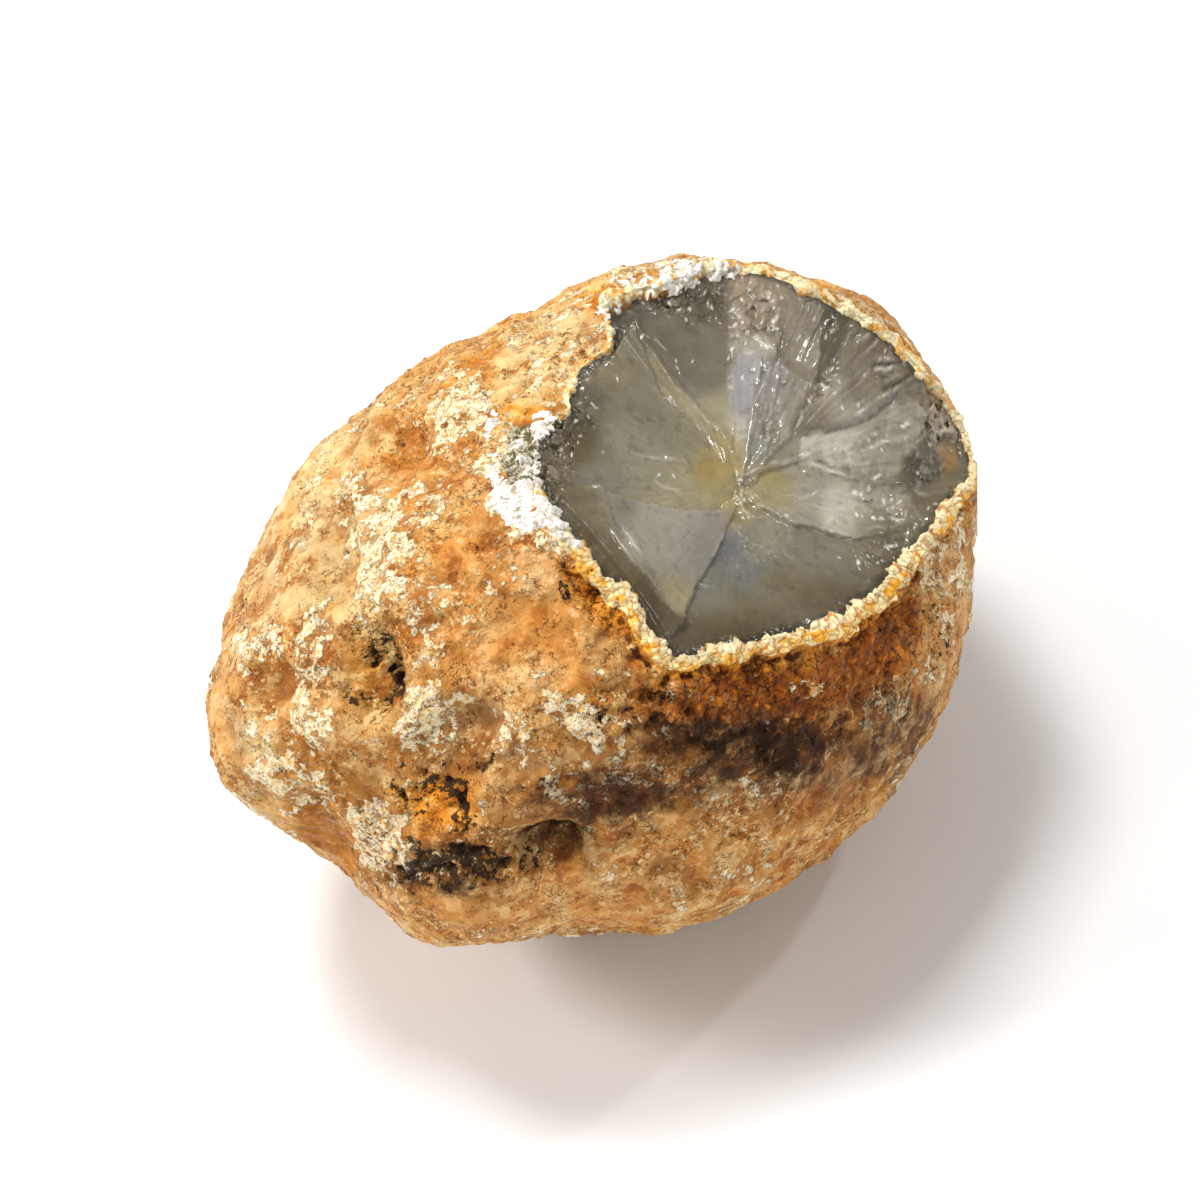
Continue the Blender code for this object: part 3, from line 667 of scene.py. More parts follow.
def skin(p0, about, gap, front, outside, x, y):
    """Relief in mm, what the surface is made of, and its colour, for points of the rind."""
    # The places of the marks wander, so that no oval shows.
    wx = x + 5.0 * noise(p0 / 3.4, 21) + 2.8 * noise(p0 / 1.3, 22)
    wy = y + 5.0 * noise(p0 / 3.4, 23) + 2.8 * noise(p0 / 1.3, 24)
    mid = layers(p0 / 4.5, 4, 41)
    frac = layers(p0 / 2.4, 4, 45, 0.62)               # ragged at every size

    def region(table, hidden, keep=0.0, wider=1.0):
        """How much of a texture there is, 0 to 1, with ragged borders."""
        seen = spots(wx, wy, [(cx, cy, rx * wider, ry * wider, turn, amount) for cx, cy, rx, ry, turn, amount in table])
        seen = np.clip(seen + 0.38 * frac * ease(seen, 0.0, 0.35), 0, 1.25)
        return front * np.maximum(seen, keep * hidden) + (1 - front) * hidden

    cream = region(CREAM, 0.95 * ease(layers(p0 / 7.0, 4, 51) + 0.3 * mid, 0.0, 0.6), 0.55, 1.30)
    pitted = region(PITTED, 0.85 * ease(layers(p0 / 5.0, 4, 81), 0.40, 0.95), 0.25, 1.15)
    smooth = region(SMOOTH, 0.8 * ease(layers(p0 / 8.0, 2, 95), 0.05, 0.5), 0.7, 1.15)
    smooth = smooth * (1 - 0.8 * np.clip(cream, 0, 1))

    # ---- the broken edge of the rind
    band = round_table((1.1, 1.0, 1.0, 0.9, 0.8, 0.9, 0.9, 0.7, 0.6, 0.5, 0.5, 0.4,
                        0.5, 0.8, 1.1, 1.4, 1.5, 1.6, 1.6, 1.6, 1.6, 1.6, 1.6, 1.6,
                        1.6, 1.6, 1.6, 1.6, 1.6, 1.6, 1.6, 1.5, 1.4, 1.2, 1.2, 1.1), about)
    band = band * (1 + 0.45 * noise(p0 / 2.0, 14))
    crust = np.where(outside, ease(gap, band * 1.3, band * 0.7), 0)
    lip = np.where(outside, np.exp(-((gap - band * 0.45) / (band * 0.6)) ** 2), 0)
    below = ease(np.sin(np.radians(about - 150)), -0.2, 0.3)      # the lower half of the edge
    stain_here = front * spots(wx, wy, ((470, 378, 62, 26, -8, 1.0), (548, 348, 20, 36, 25, 1.0), (388, 322, 24, 10, 46, 0.9)))
    domes = np.clip(stain_here * 1.3 * ease(gap, 0.4, 1.4) + 0.10, 0, 1)

    # ---- relief, mm
    chip1, chip2, chip_id, chip_lean = cells(p0 / 1.05, 101)
    grit1, grit2, grit_id, _ = cells(p0 / 0.66, 102)
    pip1, pip2, pip_id, _ = cells(p0 / 0.45, 103)
    bend = np.stack([noise(p0 / 1.9, 138), noise(p0 / 1.9, 139), noise(p0 / 1.9, 140)], 1)
    dome1, dome2, dome_id, _ = cells((p0 + 0.8 * bend) / (1.75 + 0.25 * noise(p0 / 6.0, 144)[:, None]), 105)
    between = np.clip((dome2 - dome1) / 0.35, 0, 1)
    grain_gap = np.clip((grit2 - grit1) / 0.35, 0, 1)
    ridged = 1 - np.abs(layers(p0 / 2.6, 3, 112)) * 1.4
    lumps = 0.58 * mid + 0.18 * layers(p0 / 2.0, 3, 111) + 0.24 * (ridged - 0.6)
    rough = 1 - 0.80 * np.clip(smooth, 0, 1)
    h = lumps * (0.50 + 0.50 * rough) - 0.12
    h += rough * (0.08 * (0.5 - grit1) + 0.05 * (0.5 - pip1) + 0.04 * noise(p0 / 0.42, 131))
    h += np.clip(cream, 0, 1) * (0.34 * (0.62 - grit1) + 0.16 * (0.6 - pip1) + 0.10 * noise(p0 / 0.5, 133) + 0.08)
    h += 0.32 * np.clip(pitted, 0, 1) * layers(p0 / 1.3, 3, 145, 0.65)
    holes = ease(layers(p0 / 1.25, 3, 121) + 0.9 * (np.clip(pitted, 0, 1.1) - 1), 0.0, 0.45)
    h -= 0.75 * holes * (0.4 + 0.6 * np.clip(pitted, 0, 1)) * (0.5 + 0.5 * rough)
    h += domes * (0.70 * (dome(dome1, 0.80) - 0.6) * (0.5 + dome_id) + 0.26 * (0.60 - chip1) + 0.14 * (0.5 - grit1))
    jx, jy = 0.5 * (x + wx), 0.5 * (y + wy)
    for cx, cy, rx, ry, turn, depth in DENTS:
        near = (np.abs(jx - cx) < 1.6 * max(rx, ry)) & (np.abs(jy - cy) < 1.6 * max(rx, ry)) & (front > 0)
        h[near] -= 1.05 * front[near] * depth * spot(jx[near], jy[near], cx, cy, rx, ry, turn)
    # grains of the broken edge, and the crevice round them
    beads = 0.34 * dome(chip1, 0.70) * (0.4 + chip_id) + 0.13 * dome(grit1, 0.62) * (0.5 + grit_id) + 0.08 * dome(pip1, 0.6) - 0.22
    h += crust * (beads * (0.55 + 0.45 * below) + 0.14 * noise(p0 / 1.4, 134) + 0.08 * noise(p0 / 0.6, 136))
    h += lip * (0.02 + 0.26 * below)
    crevice = np.where(outside, np.exp(-((gap - band * 1.45 - 0.2) / 0.45) ** 2), 0) * below * ease(noise(p0 / 1.6, 135), -0.5, 0.3)
    h -= 0.40 * crevice

    # ---- the patch of bare crystals left of the break, and the white grains round it
    lobe = front * ease(inside_by(0.3 * wx + 0.7 * x, 0.3 * wy + 0.7 * y,
                                  [(334, 226), (344, 220), (356, 222), (372, 214), (368, 235), (366, 262), (372, 284),
                                   (354, 260), (338, 258), (331, 244)]), -1.5, 2.0)
    gx, gy = x + 3.0 * noise(p0 / 0.9, 27), y + 3.0 * noise(p0 / 0.9, 28)
    white = front * spots(gx, gy, (
        (355, 224, 7, 9, 0, 1), (357, 238, 7, 9, 0, 1), (348, 246, 5, 6, 0, 0.9), (347, 261, 10, 7, 0, 0.9),
        (358, 270, 10, 8, 10, 0.9), (336, 268, 10, 7, 10, 0.85), (346, 277, 13, 5, 10, 0.85), (365, 280, 7, 6, 30, 0.9),
        (362, 252, 4, 8, 0, 0.7), (340, 234, 4, 5, 0, 0.5),
        (326, 222, 3, 7, 0, 0.7), (327, 246, 3, 10, 0, 0.6), (331, 258, 4, 8, 0, 0.7), (371, 289, 6, 4, 45, 0.6),
        (390, 158, 5, 4, 0, 0.6), (420, 142, 26, 5, 4, 0.8), (450, 136, 26, 4, 4, 0.8)))
    white = np.clip(white * 1.1 + (0.25 * frac + 0.75 * noise(p0 / 1.1, 137)) * (white > 0.05), 0, 1) * outside
    # darker brown low on the stone, under the break: partly a real stain, partly painted shadow
    stain_and_painted_shadow = front * spots(wx, wy, ((474, 404, 66, 22, 0, 1.0), (402, 431, 50, 17, -6, 0.95), (362, 457, 28, 10, -8, 0.9),
                                   (548, 398, 36, 26, -35, 0.75), (320, 474, 40, 12, -8, 0.5), (440, 392, 20, 10, 0, 0.5)))
    stain_and_painted_shadow = np.clip(stain_and_painted_shadow + 0.7 * frac * ease(stain_and_painted_shadow, 0.0, 0.3), 0, 1)
    h += outside * (lobe * (-0.50 + 0.60 * (0.6 - chip1) + 0.40 * (0.6 - grit1)) + white * (0.10 + 0.75 * (0.6 - grit1)))
    h = np.where(h > 0.25, 0.25 + 0.45 * np.tanh((h - 0.25) / 0.45), h)

    # ---- colour washes
    colour = np.tile(np.array(HUES["tan"]), (len(p0), 1))
    a, b, c = layers(p0 / 9.0, 3, 61), layers(p0 / 8.0, 3, 71), layers(p0 / 10.0, 3, 91)
    hidden = 1 - 0.65 * front
    colour = blend_hue(colour, "beige", 0.8 * ease(c, 0.05, 0.55) * hidden)
    colour = blend_hue(colour, "golden", 0.9 * ease(a, 0.10, 0.6) * hidden)
    colour = blend_hue(colour, "greybeige", 0.8 * ease(-c, 0.15, 0.6) * hidden)
    colour = blend_hue(colour, "dun", 0.8 * ease(-a, 0.15, 0.6) * hidden)
    colour = blend_hue(colour, "brown", 0.8 * ease(b, 0.25, 0.8) * hidden)
    colour = blend_hue(colour, "stain", 0.7 * ease(-b, 0.45, 0.9) * hidden)
    for cx, cy, rx, ry, turn, name, amount in WASHES:
        near = (np.abs(wx - cx) < 1.6 * max(rx, ry)) & (np.abs(wy - cy) < 1.6 * max(rx, ry)) & (front > 0)
        m = amount * spot(wx[near], wy[near], cx, cy, rx, ry, turn)
        m = np.clip(m + 0.25 * frac[near] * ease(m, 0.02, 0.4), 0, 1) * front[near]
        colour[near] = blend_hue(colour[near], name, m)
    # golden and pale mottling; painted shade in the hollows between the lumps, and paler on their raised tops:
    # partly the rind's own paler tops, partly painted light
    veil = layers(p0 / 3.6, 5, 97, 0.62)
    veiled = (1 - stain_here) * (1 - 0.45 * np.clip(smooth, 0, 1))
    colour = blend_hue(colour, "golden", 0.50 * ease(veil, 0.05, 0.60) * veiled)
    colour = blend_hue(colour, "pale", 0.45 * ease(-veil, 0.15, 0.65) * veiled * (1 - 0.5 * np.clip(pitted, 0, 1)))
    hollow_shade = ease(lumps - 0.2 * holes, -0.05, -0.55)
    colour = blend_hue(colour, "brown", 0.60 * hollow_shade * (1 - np.clip(cream, 0, 1)))
    colour = blend_hue(colour, "pale", 0.45 * ease(lumps, 0.15, 0.60) * veiled)
    colour = blend_hue(colour, "orange", 0.55 * front * below * ease(gap + 0.5 * frac, band * 2.2, band * 1.2))
    marks = {
        "cream": np.clip(cream, 0, 1), "pitted": np.clip(pitted, 0, 1.2), "smooth": np.clip(smooth, 0, 1),
        "holes": holes, "domes": domes * np.where(stain_here > 0.2, 1, 0.3), "between": between, "grain_gap": grain_gap,
        "crust": crust, "below": below * outside, "crevice": np.clip(crevice, 0, 1), "lobe": lobe, "stain_and_painted_shadow": stain_and_painted_shadow,
        "white": np.where(white > 0.02, ease(white + 0.8 * (grit_id - 0.5), 0.30, 0.50), 0),
        "inner": crust * ease(gap + 0.15 * noise(p0 / 0.8, 18), 0.55, 0.25),
    }
    return h, marks, colour


# ---------------------------------------------------------------- the core
def core_surface():
    """The fracture face as a fine round grid, closed by a coarse underside within the rind."""
    n = CORE_GRID
    t = np.linspace(-1, 1, n + 1)
    a, b = np.meshgrid(t, t, indexing="ij")
    a, b = a.reshape(-1), b.reshape(-1)
    u, v = a * np.sqrt(1 - b * b / 2), b * np.sqrt(1 - a * a / 2)      # square to disc
    share = np.minimum(np.hypot(u, v), 1.0)
    about = np.degrees(np.arctan2(v, u)) % 360
    edge = ragged_edge(about)
    out = share * (edge + 2.0)
    d = from_polar(out, about)
    rim = body(from_polar(edge, about))
    r = bowl(np.minimum(out, edge), edge, rim)
    p0 = d * r[:, None]
    i, j = np.meshgrid(np.arange(n), np.arange(n), indexing="ij")
    q = (i * (n + 1) + j).reshape(-1)
    quads = np.stack([q, q + n + 1, q + n + 2, q + 1], 1)
    view = unit(EYE - p0)
    x, y = picture(p0)
    gap = (out - edge) * np.radians(1) * r

    fx = x + 0.8 * noise(p0 / 1.1, 25) + 0.3 * noise(p0 / 0.4, 26)
    fy = y + 0.8 * noise(p0 / 1.1, 27) + 0.3 * noise(p0 / 0.4, 28)
    wx = x + 4.0 * noise(p0 / 3.2, 21) + 1.5 * noise(p0 / 1.2, 22)
    wy = y + 4.0 * noise(p0 / 3.2, 23) + 1.5 * noise(p0 / 1.2, 24)

    weight, soft = np.zeros(len(x)), np.zeros(len(x))
    reach_to, fibrous, gloss, tint = np.zeros(len(x)), np.zeros(len(x)), np.zeros(len(x)), np.zeros((len(x), 3))
    within = {}
    for name, (outline, three, hues, roughness, fibre) in FACETS.items():
        corners = []
        for px, py, height in three:
            k = np.argmin((x - px) ** 2 + (y - py) ** 2)
            corners.append(p0[k] + view[k] * height)
        flat = np.cross(corners[1] - corners[0], corners[2] - corners[0])
        plane = (flat @ corners[0]) / (d @ flat)
        by = inside_by(fx, fy, outline)
        within[name] = ease(by, -0.5, 0.5)
        border = SOFT.get(name, 0.8)
        w = ease(by, -border, border) + 1e-9 * np.exp(np.minimum(by, 0) / 8)
        s = ease(by, -1.4 - border, 1.4 + border) + 1e-9 * np.exp(np.minimum(by, 0) / 8)
        reach_to += w * plane
        fibrous += w * fibre
        weight += w
        paint, total = np.zeros((len(x), 3)), np.zeros(len(x))
        for px, py, hue in hues:
            k = 1.0 / (6.0 + (wx - px) ** 2 + (wy - py) ** 2) ** 1.5
            paint += k[:, None] * np.array(HUES[hue])
            total += k
        soft += s
        gloss += s * roughness
        tint += s[:, None] * paint / total[:, None]
    r_face, fibrous = reach_to / weight, fibrous / weight
    gloss, tint = gloss / soft, tint / soft[:, None]
    r_face = np.clip(r_face, r - 1.9, r + 0.7)
    # It meets the rind's edge, and only its last millimetre follows how ragged that edge is.
    plain_edge = round_table(FACE_EDGE, about)
    plain = bowl(np.minimum(out, plain_edge), plain_edge, body(from_polar(plain_edge, about)))
    plain += (r - plain) * ease(gap, -1.5, -0.2)
    rise = 0.8 - 0.7 * spot(x, y, 420, 158, 46, 34, -10)
    r_face += rise * (plain - 0.12 - r_face) * ease(gap, -6.5, -0.2)

    # ---- relief towards the eye, mm
    k = np.zeros(len(x))
    pale, dark = np.zeros(len(x)), np.zeros(len(x))
    uneven = 0.65 + 0.6 * noise(p0 / 0.9, 156)
    for points, height, width, paint in LINES:
        pts = np.array(points, float)
        near = ((x > pts[:, 0].min() - 8) & (x < pts[:, 0].max() + 8) & (y > pts[:, 1].min() - 8) & (y < pts[:, 1].max() + 8))
        away, along = near_line(fx[near], fy[near], points)
        m = np.exp(-(away / width) ** 2) * np.minimum(1, 3 * np.minimum(along, 1 - along) + 0.25)
        k[near] += height * m * np.clip(uneven[near] + 0.3, 0.3, 1.3)
        m = m * np.clip(uneven[near], 0, 1.2)
        if paint > 0:
            pale[near] = np.maximum(pale[near], paint * m)
        else:
            dark[near] = np.maximum(dark[near], -paint * m)
    # painted highlights: each glint is a small bump painted near white
    for px, py, size in GLINTS:
        near = (np.abs(x - px) < 7) & (np.abs(y - py) < 7)
        outward = np.arctan2(py - 258, px - 466) + 0.9 * sin(px * 1.7 + py)
        du, dv = fx[near] - px, fy[near] - py
        m = np.hypot((du * cos(outward) + dv * sin(outward)) / 1.7, (dv * cos(outward) - du * sin(outward)) / 0.75)
        m = ease(m, 1.3 * size, 0.30 * size)
        k[near] += 0.15 * size * m
        pale[near] = np.maximum(pale[near], 0.9 * m)
    spin = np.degrees(np.arctan2(y - 258, x - 466))
    away = np.hypot(x - 466, y - 258)
    radial = np.stack([spin / 2.4 + 0.5 * noise(p0 / 5, 15), away / 34.0 + 0.4 * noise(p0 / 3, 16), p0[:, 2] * 0], 1)
    threads = noise(radial, 141) + 0.6 * noise(radial * [2.3, 1.6, 1], 142) + 0.35 * noise(radial * [5.1, 2.4, 1], 143)
    k += (0.003 + 0.18 * fibrous) * threads * ease(away, 10, 45)
    chip1, chip2, chip_id, chip_lean = cells(p0 / 1.0, 101)
    grit1, grit2, grit_id, grit_lean = cells(p0 / 0.5, 102)
    conchoid = np.sin(away * 0.48 + 2.5 * noise(p0 / 7.0, 151)) * ease(noise(p0 / 6.0, 152), 0.05, 0.5)
    k += 0.010 * conchoid + 0.13 * noise(p0 / 6.5, 153) + 0.035 * noise(p0 / 2.2, 154) + 0.006 * noise(p0 / 0.7, 157)
    chipped = spots(x + 3 * noise(p0 / 1.5, 29), y + 3 * noise(p0 / 1.5, 30), CHIPS)
    k += chipped * (0.8 * (chip_id - 0.5) + 0.6 * chip_lean + 0.30 * (grit_id - 0.5) + 0.3 * grit_lean)
    margin = ease(gap, -1.6, -0.2)
    k += margin * (0.16 * (chip_id - 0.5) + 0.12 * chip_lean + 0.10 * noise(p0 / 0.6, 155))

    r_top = np.minimum(r_face, rim - 0.15 + 0.35 * ease(gap, -0.3, -1.5) + 9 * ease(gap, -1.0, -2.5))
    r_top = r_top - np.maximum(gap, 0) * 1.3 - 0.12 * ease(gap, -0.7, 0.0)
    p = d * r_top[:, None] + (k * ease(gap, 0.6, -0.4))[:, None] * view

    # ---- colours
    def lay(hue, amount):
        nonlocal tint
        tint = blend_hue(tint, hue, amount)

    lay("honey", 0.85 * spot(wx, wy, 453, 245, 12, 16, 20))
    lay("honey", 0.30 * spot(wx, wy, 478, 250, 9, 9, 0))
    lay("honey", 0.35 * spot(wx, wy, 482, 262, 14, 12, 0))
    lay("honey", 0.50 * spot(wx, wy, 463, 270, 9, 12, 0))
    lay("sand", 0.35 * spot(wx, wy, 446, 226, 14, 22, -35) * (1 - within["wedge"]))
    lay("pearl", 0.5 * spot(x, y, 470, 192, 6, 9, 15) * within["tongue"])
    lay("rust", 0.70 * spot(wx, wy, 581, 243, 5, 9, 5))
    # painted shade in the hollow near the right edge
    lay("ink", 0.6 * spot(wx, wy, 563, 252, 8, 9, 0))
    # darker towards the edge of the break, most at the lower left; the last millimetre is painted shadow where the core
    # meets the rind
    fringe = ease(gap, -4.4, -0.2) * (0.30 + 0.70 * ease(np.cos(np.radians(about - 205)), -0.3, 0.7))
    lay((0.320, 0.265, 0.150), 0.70 * fringe)
    lay((0.20, 0.165, 0.10), 0.85 * ease(gap, -0.9, -0.1))
    shade = 1 + (0.03 + 0.16 * fibrous) * threads * ease(away, 6, 30) + 0.05 * noise(p0 / 3.0, 161) + 0.05 * noise(p0 / 1.1, 162)
    bright = round_table((0.94, 0.96, 1.02, 1.04, 1.00, 0.94, 0.92, 0.90, 0.92, 1.03, 1.04, 1.04,
                          1.02, 0.93, 0.92, 0.93, 0.95, 0.96, 0.96, 0.95), -spin)
    tint = tint * (shade * (0.94 + (bright - 0.94) * ease(away, 8, 45)))[:, None]
    # raised chips paler and sunken ones darker: partly the crystals' own tones, partly painted light and shade
    lay((0.74, 0.70, 0.62), 0.70 * np.clip(chipped, 0, 0.8) * ease(chip_id, 0.70, 0.9))
    lay((0.26, 0.22, 0.16), 0.65 * np.clip(chipped * 1.3, 0, 0.8) * ease(chip_id, 0.30, 0.1))
    # painted shade in the cut lines, then the pale of the lines and glints: partly white crushed chalcedony, partly
    # painted highlight
    lay((0.16, 0.14, 0.10), 0.9 * dark)
    lay((0.93, 0.92, 0.88), 0.95 * pale)
    gloss = gloss + 0.20 * np.clip(chipped, 0, 1) * chip_id

    # ---- the underside: three rings and a middle, inside the rind
    c = p[quads]
    ring = np.concatenate([np.arange(n + 1), np.arange(1, n + 1) * (n + 1) + n,
                           n * (n + 1) + np.arange(n - 1, -1, -1), np.arange(n - 1, 0, -1) * (n + 1)])
    if (np.cross(c[:, 2] - c[:, 0], c[:, 3] - c[:, 1]) * d[quads[:, 0]]).sum() < 0:
        quads, ring = quads[:, ::-1], ring[::-1]
    m, count = len(ring), len(p)
    rows, sheets, last = [p], [quads], ring
    for shrink, sink in ((0.93, 3.4), (0.74, 5.0), (0.40, 6.5)):
        inward = out[ring] * shrink
        rows.append(from_polar(inward, about[ring]) * (bowl(inward, edge[ring], rim[ring]) - sink)[:, None])
        now = count + np.arange(m)
        sheets.append(np.stack([last, np.roll(last, -1), np.roll(now, -1), now], 1))
        last, count = now, count + m
    rows.append(from_polar(np.zeros(1), np.zeros(1)) * (FACE_MIDDLE - 7.0))
    fan = np.stack([last, np.roll(last, -1), np.full(m, count)], 1)
    p = np.concatenate(rows)
    extra = len(p) - len(tint)
    tint = np.concatenate([tint, np.tile(HUES["olive"], (extra, 1))])
    marks = {"gloss": np.concatenate([gloss, np.full(extra, 0.3)])}
    return p, np.concatenate(sheets), fan, marks, np.clip(tint, 0, 1)


# ---------------------------------------------------------------- meshes
def make_mesh(name, points, quads, marks, colour, material, triangles=None):
    loops, starts = quads.reshape(-1), np.arange(0, quads.size, 4)
    if triangles is not None:
        starts = np.concatenate([starts, quads.size + np.arange(0, triangles.size, 3)])
        loops = np.concatenate([loops, triangles.reshape(-1)])
    mesh = bpy.data.meshes.new(name)
    mesh.vertices.add(len(points))
    mesh.vertices.foreach_set("co", (points * MM).astype(np.float32).reshape(-1))
    mesh.loops.add(len(loops))
    mesh.loops.foreach_set("vertex_index", loops.astype(np.int32))
    mesh.polygons.add(len(starts))
    mesh.polygons.foreach_set("loop_start", starts.astype(np.int32))
    mesh.update(calc_edges=True)
    mesh.validate()
    mesh.shade_smooth()
    for key, values in marks.items():
        mesh.attributes.new(key, "FLOAT", "POINT").data.foreach_set("value", values.astype(np.float32))
    rgba = np.concatenate([to_linear(np.clip(colour, 0, 1)), np.ones((len(points), 1))], 1).astype(np.float32)
    mesh.attributes.new("tint", "FLOAT_COLOR", "POINT").data.foreach_set("color", rgba.reshape(-1))
    mesh.materials.append(material)
    piece = bpy.data.objects.new(name, mesh)
    bpy.context.scene.collection.objects.link(piece)
    return piece


def make_rind():
    material = rind_material()
    pieces = []
    for name, surface in (("agate_rind", rind_surface), ("agate_rind_edge", rim_surface)):
        points, quads, marks, colour = surface()
        low = points[:, 2] < BASE                              # the flat spot
        points[low] *= (BASE / points[low, 2])[:, None]
        lowest, highest = np.array(cad_box[0]) / MM, np.array(cad_box[1]) / MM
        points = np.clip(points + SHIFT, lowest, highest)      # never past the CAD model's box
        pieces.append(make_mesh(name, points, quads, marks, colour, material))
    return pieces


def make_core():
    points, quads, fan, marks, colour = core_surface()
    return make_mesh("agate_core", points + SHIFT, quads, marks, colour, chalcedony_material(), fan)


# ---------------------------------------------------------------- materials
def srgb(r, g, b):
    return (*[float(c) for c in to_linear((r, g, b))], 1.0)


class Graph:
    """A few words for writing a node tree."""

    def __init__(self, name):
        self.material = bpy.data.materials.new(name)
        self.material.use_nodes = True
        self.tree = self.material.node_tree
        self.shader = self.tree.nodes["Principled BSDF"]
        self.place = self.tree.nodes.new("ShaderNodeTexCoord").outputs["Object"]

    def join(self, source, socket):
        if isinstance(source, (int, float, tuple)):
            socket.default_value = source
        else:
            self.tree.links.new(source, socket)

    def mark(self, name, output="Fac"):
        node = self.tree.nodes.new("ShaderNodeAttribute")
        node.attribute_name = name
        return node.outputs[output]

    def noise(self, size_mm, detail=2.0, rough=0.5, offset=0.0, stretch=None):
        place = self.place
        if offset or stretch:
            move = self.tree.nodes.new("ShaderNodeMapping")
            self.join(self.place, move.inputs["Vector"])
            move.inputs["Location"].default_value = (offset, offset * 0.7, -offset)
            if stretch:
                move.inputs["Scale"].default_value = stretch
            place = move.outputs["Vector"]
        node = self.tree.nodes.new("ShaderNodeTexNoise")
        self.join(place, node.inputs["Vector"])
        node.inputs["Scale"].default_value = 1000.0 / size_mm
        node.inputs["Detail"].default_value = detail
        node.inputs["Roughness"].default_value = rough
        return node.outputs["Fac"]

    def math(self, kind, a, b=0.0, c=0.0):
        node = self.tree.nodes.new("ShaderNodeMath")
        node.operation = kind
        for source, socket in zip((a, b, c), node.inputs):
            self.join(source, socket)
        return node.outputs[0]

    def add(self, a, b):
        return self.math("ADD", a, b)

    def less(self, a, b):
        return self.math("SUBTRACT", a, b)

    def times(self, a, b):
        return self.math("MULTIPLY", a, b)

    def ease(self, value, low, high, to_low=0.0, to_high=1.0):
        node = self.tree.nodes.new("ShaderNodeMapRange")
        node.interpolation_type = "SMOOTHSTEP"
        self.join(value, node.inputs["Value"])
        if low > high:
            low, high, to_low, to_high = high, low, to_high, to_low
        for name, number in (("From Min", low), ("From Max", high), ("To Min", to_low), ("To Max", to_high)):
            node.inputs[name].default_value = number
        return node.outputs["Result"]

    def mix(self, amount, a, b, blend="MIX"):
        node = self.tree.nodes.new("ShaderNodeMix")
        node.data_type = "RGBA"
        node.blend_type = blend
        self.join(amount, node.inputs["Factor"])
        pair = [s for s in node.inputs if s.type == "RGBA"]
        self.join(a, pair[0])
        self.join(b, pair[1])
        return [s for s in node.outputs if s.type == "RGBA"][0]

    def bump(self, height, depth_mm, strength=1.0, normal=None):
        node = self.tree.nodes.new("ShaderNodeBump")
        node.inputs["Distance"].default_value = depth_mm * MM
        node.inputs["Strength"].default_value = strength
        self.join(height, node.inputs["Height"])
        if normal is not None:
            self.join(normal, node.inputs["Normal"])
        return node.outputs["Normal"]


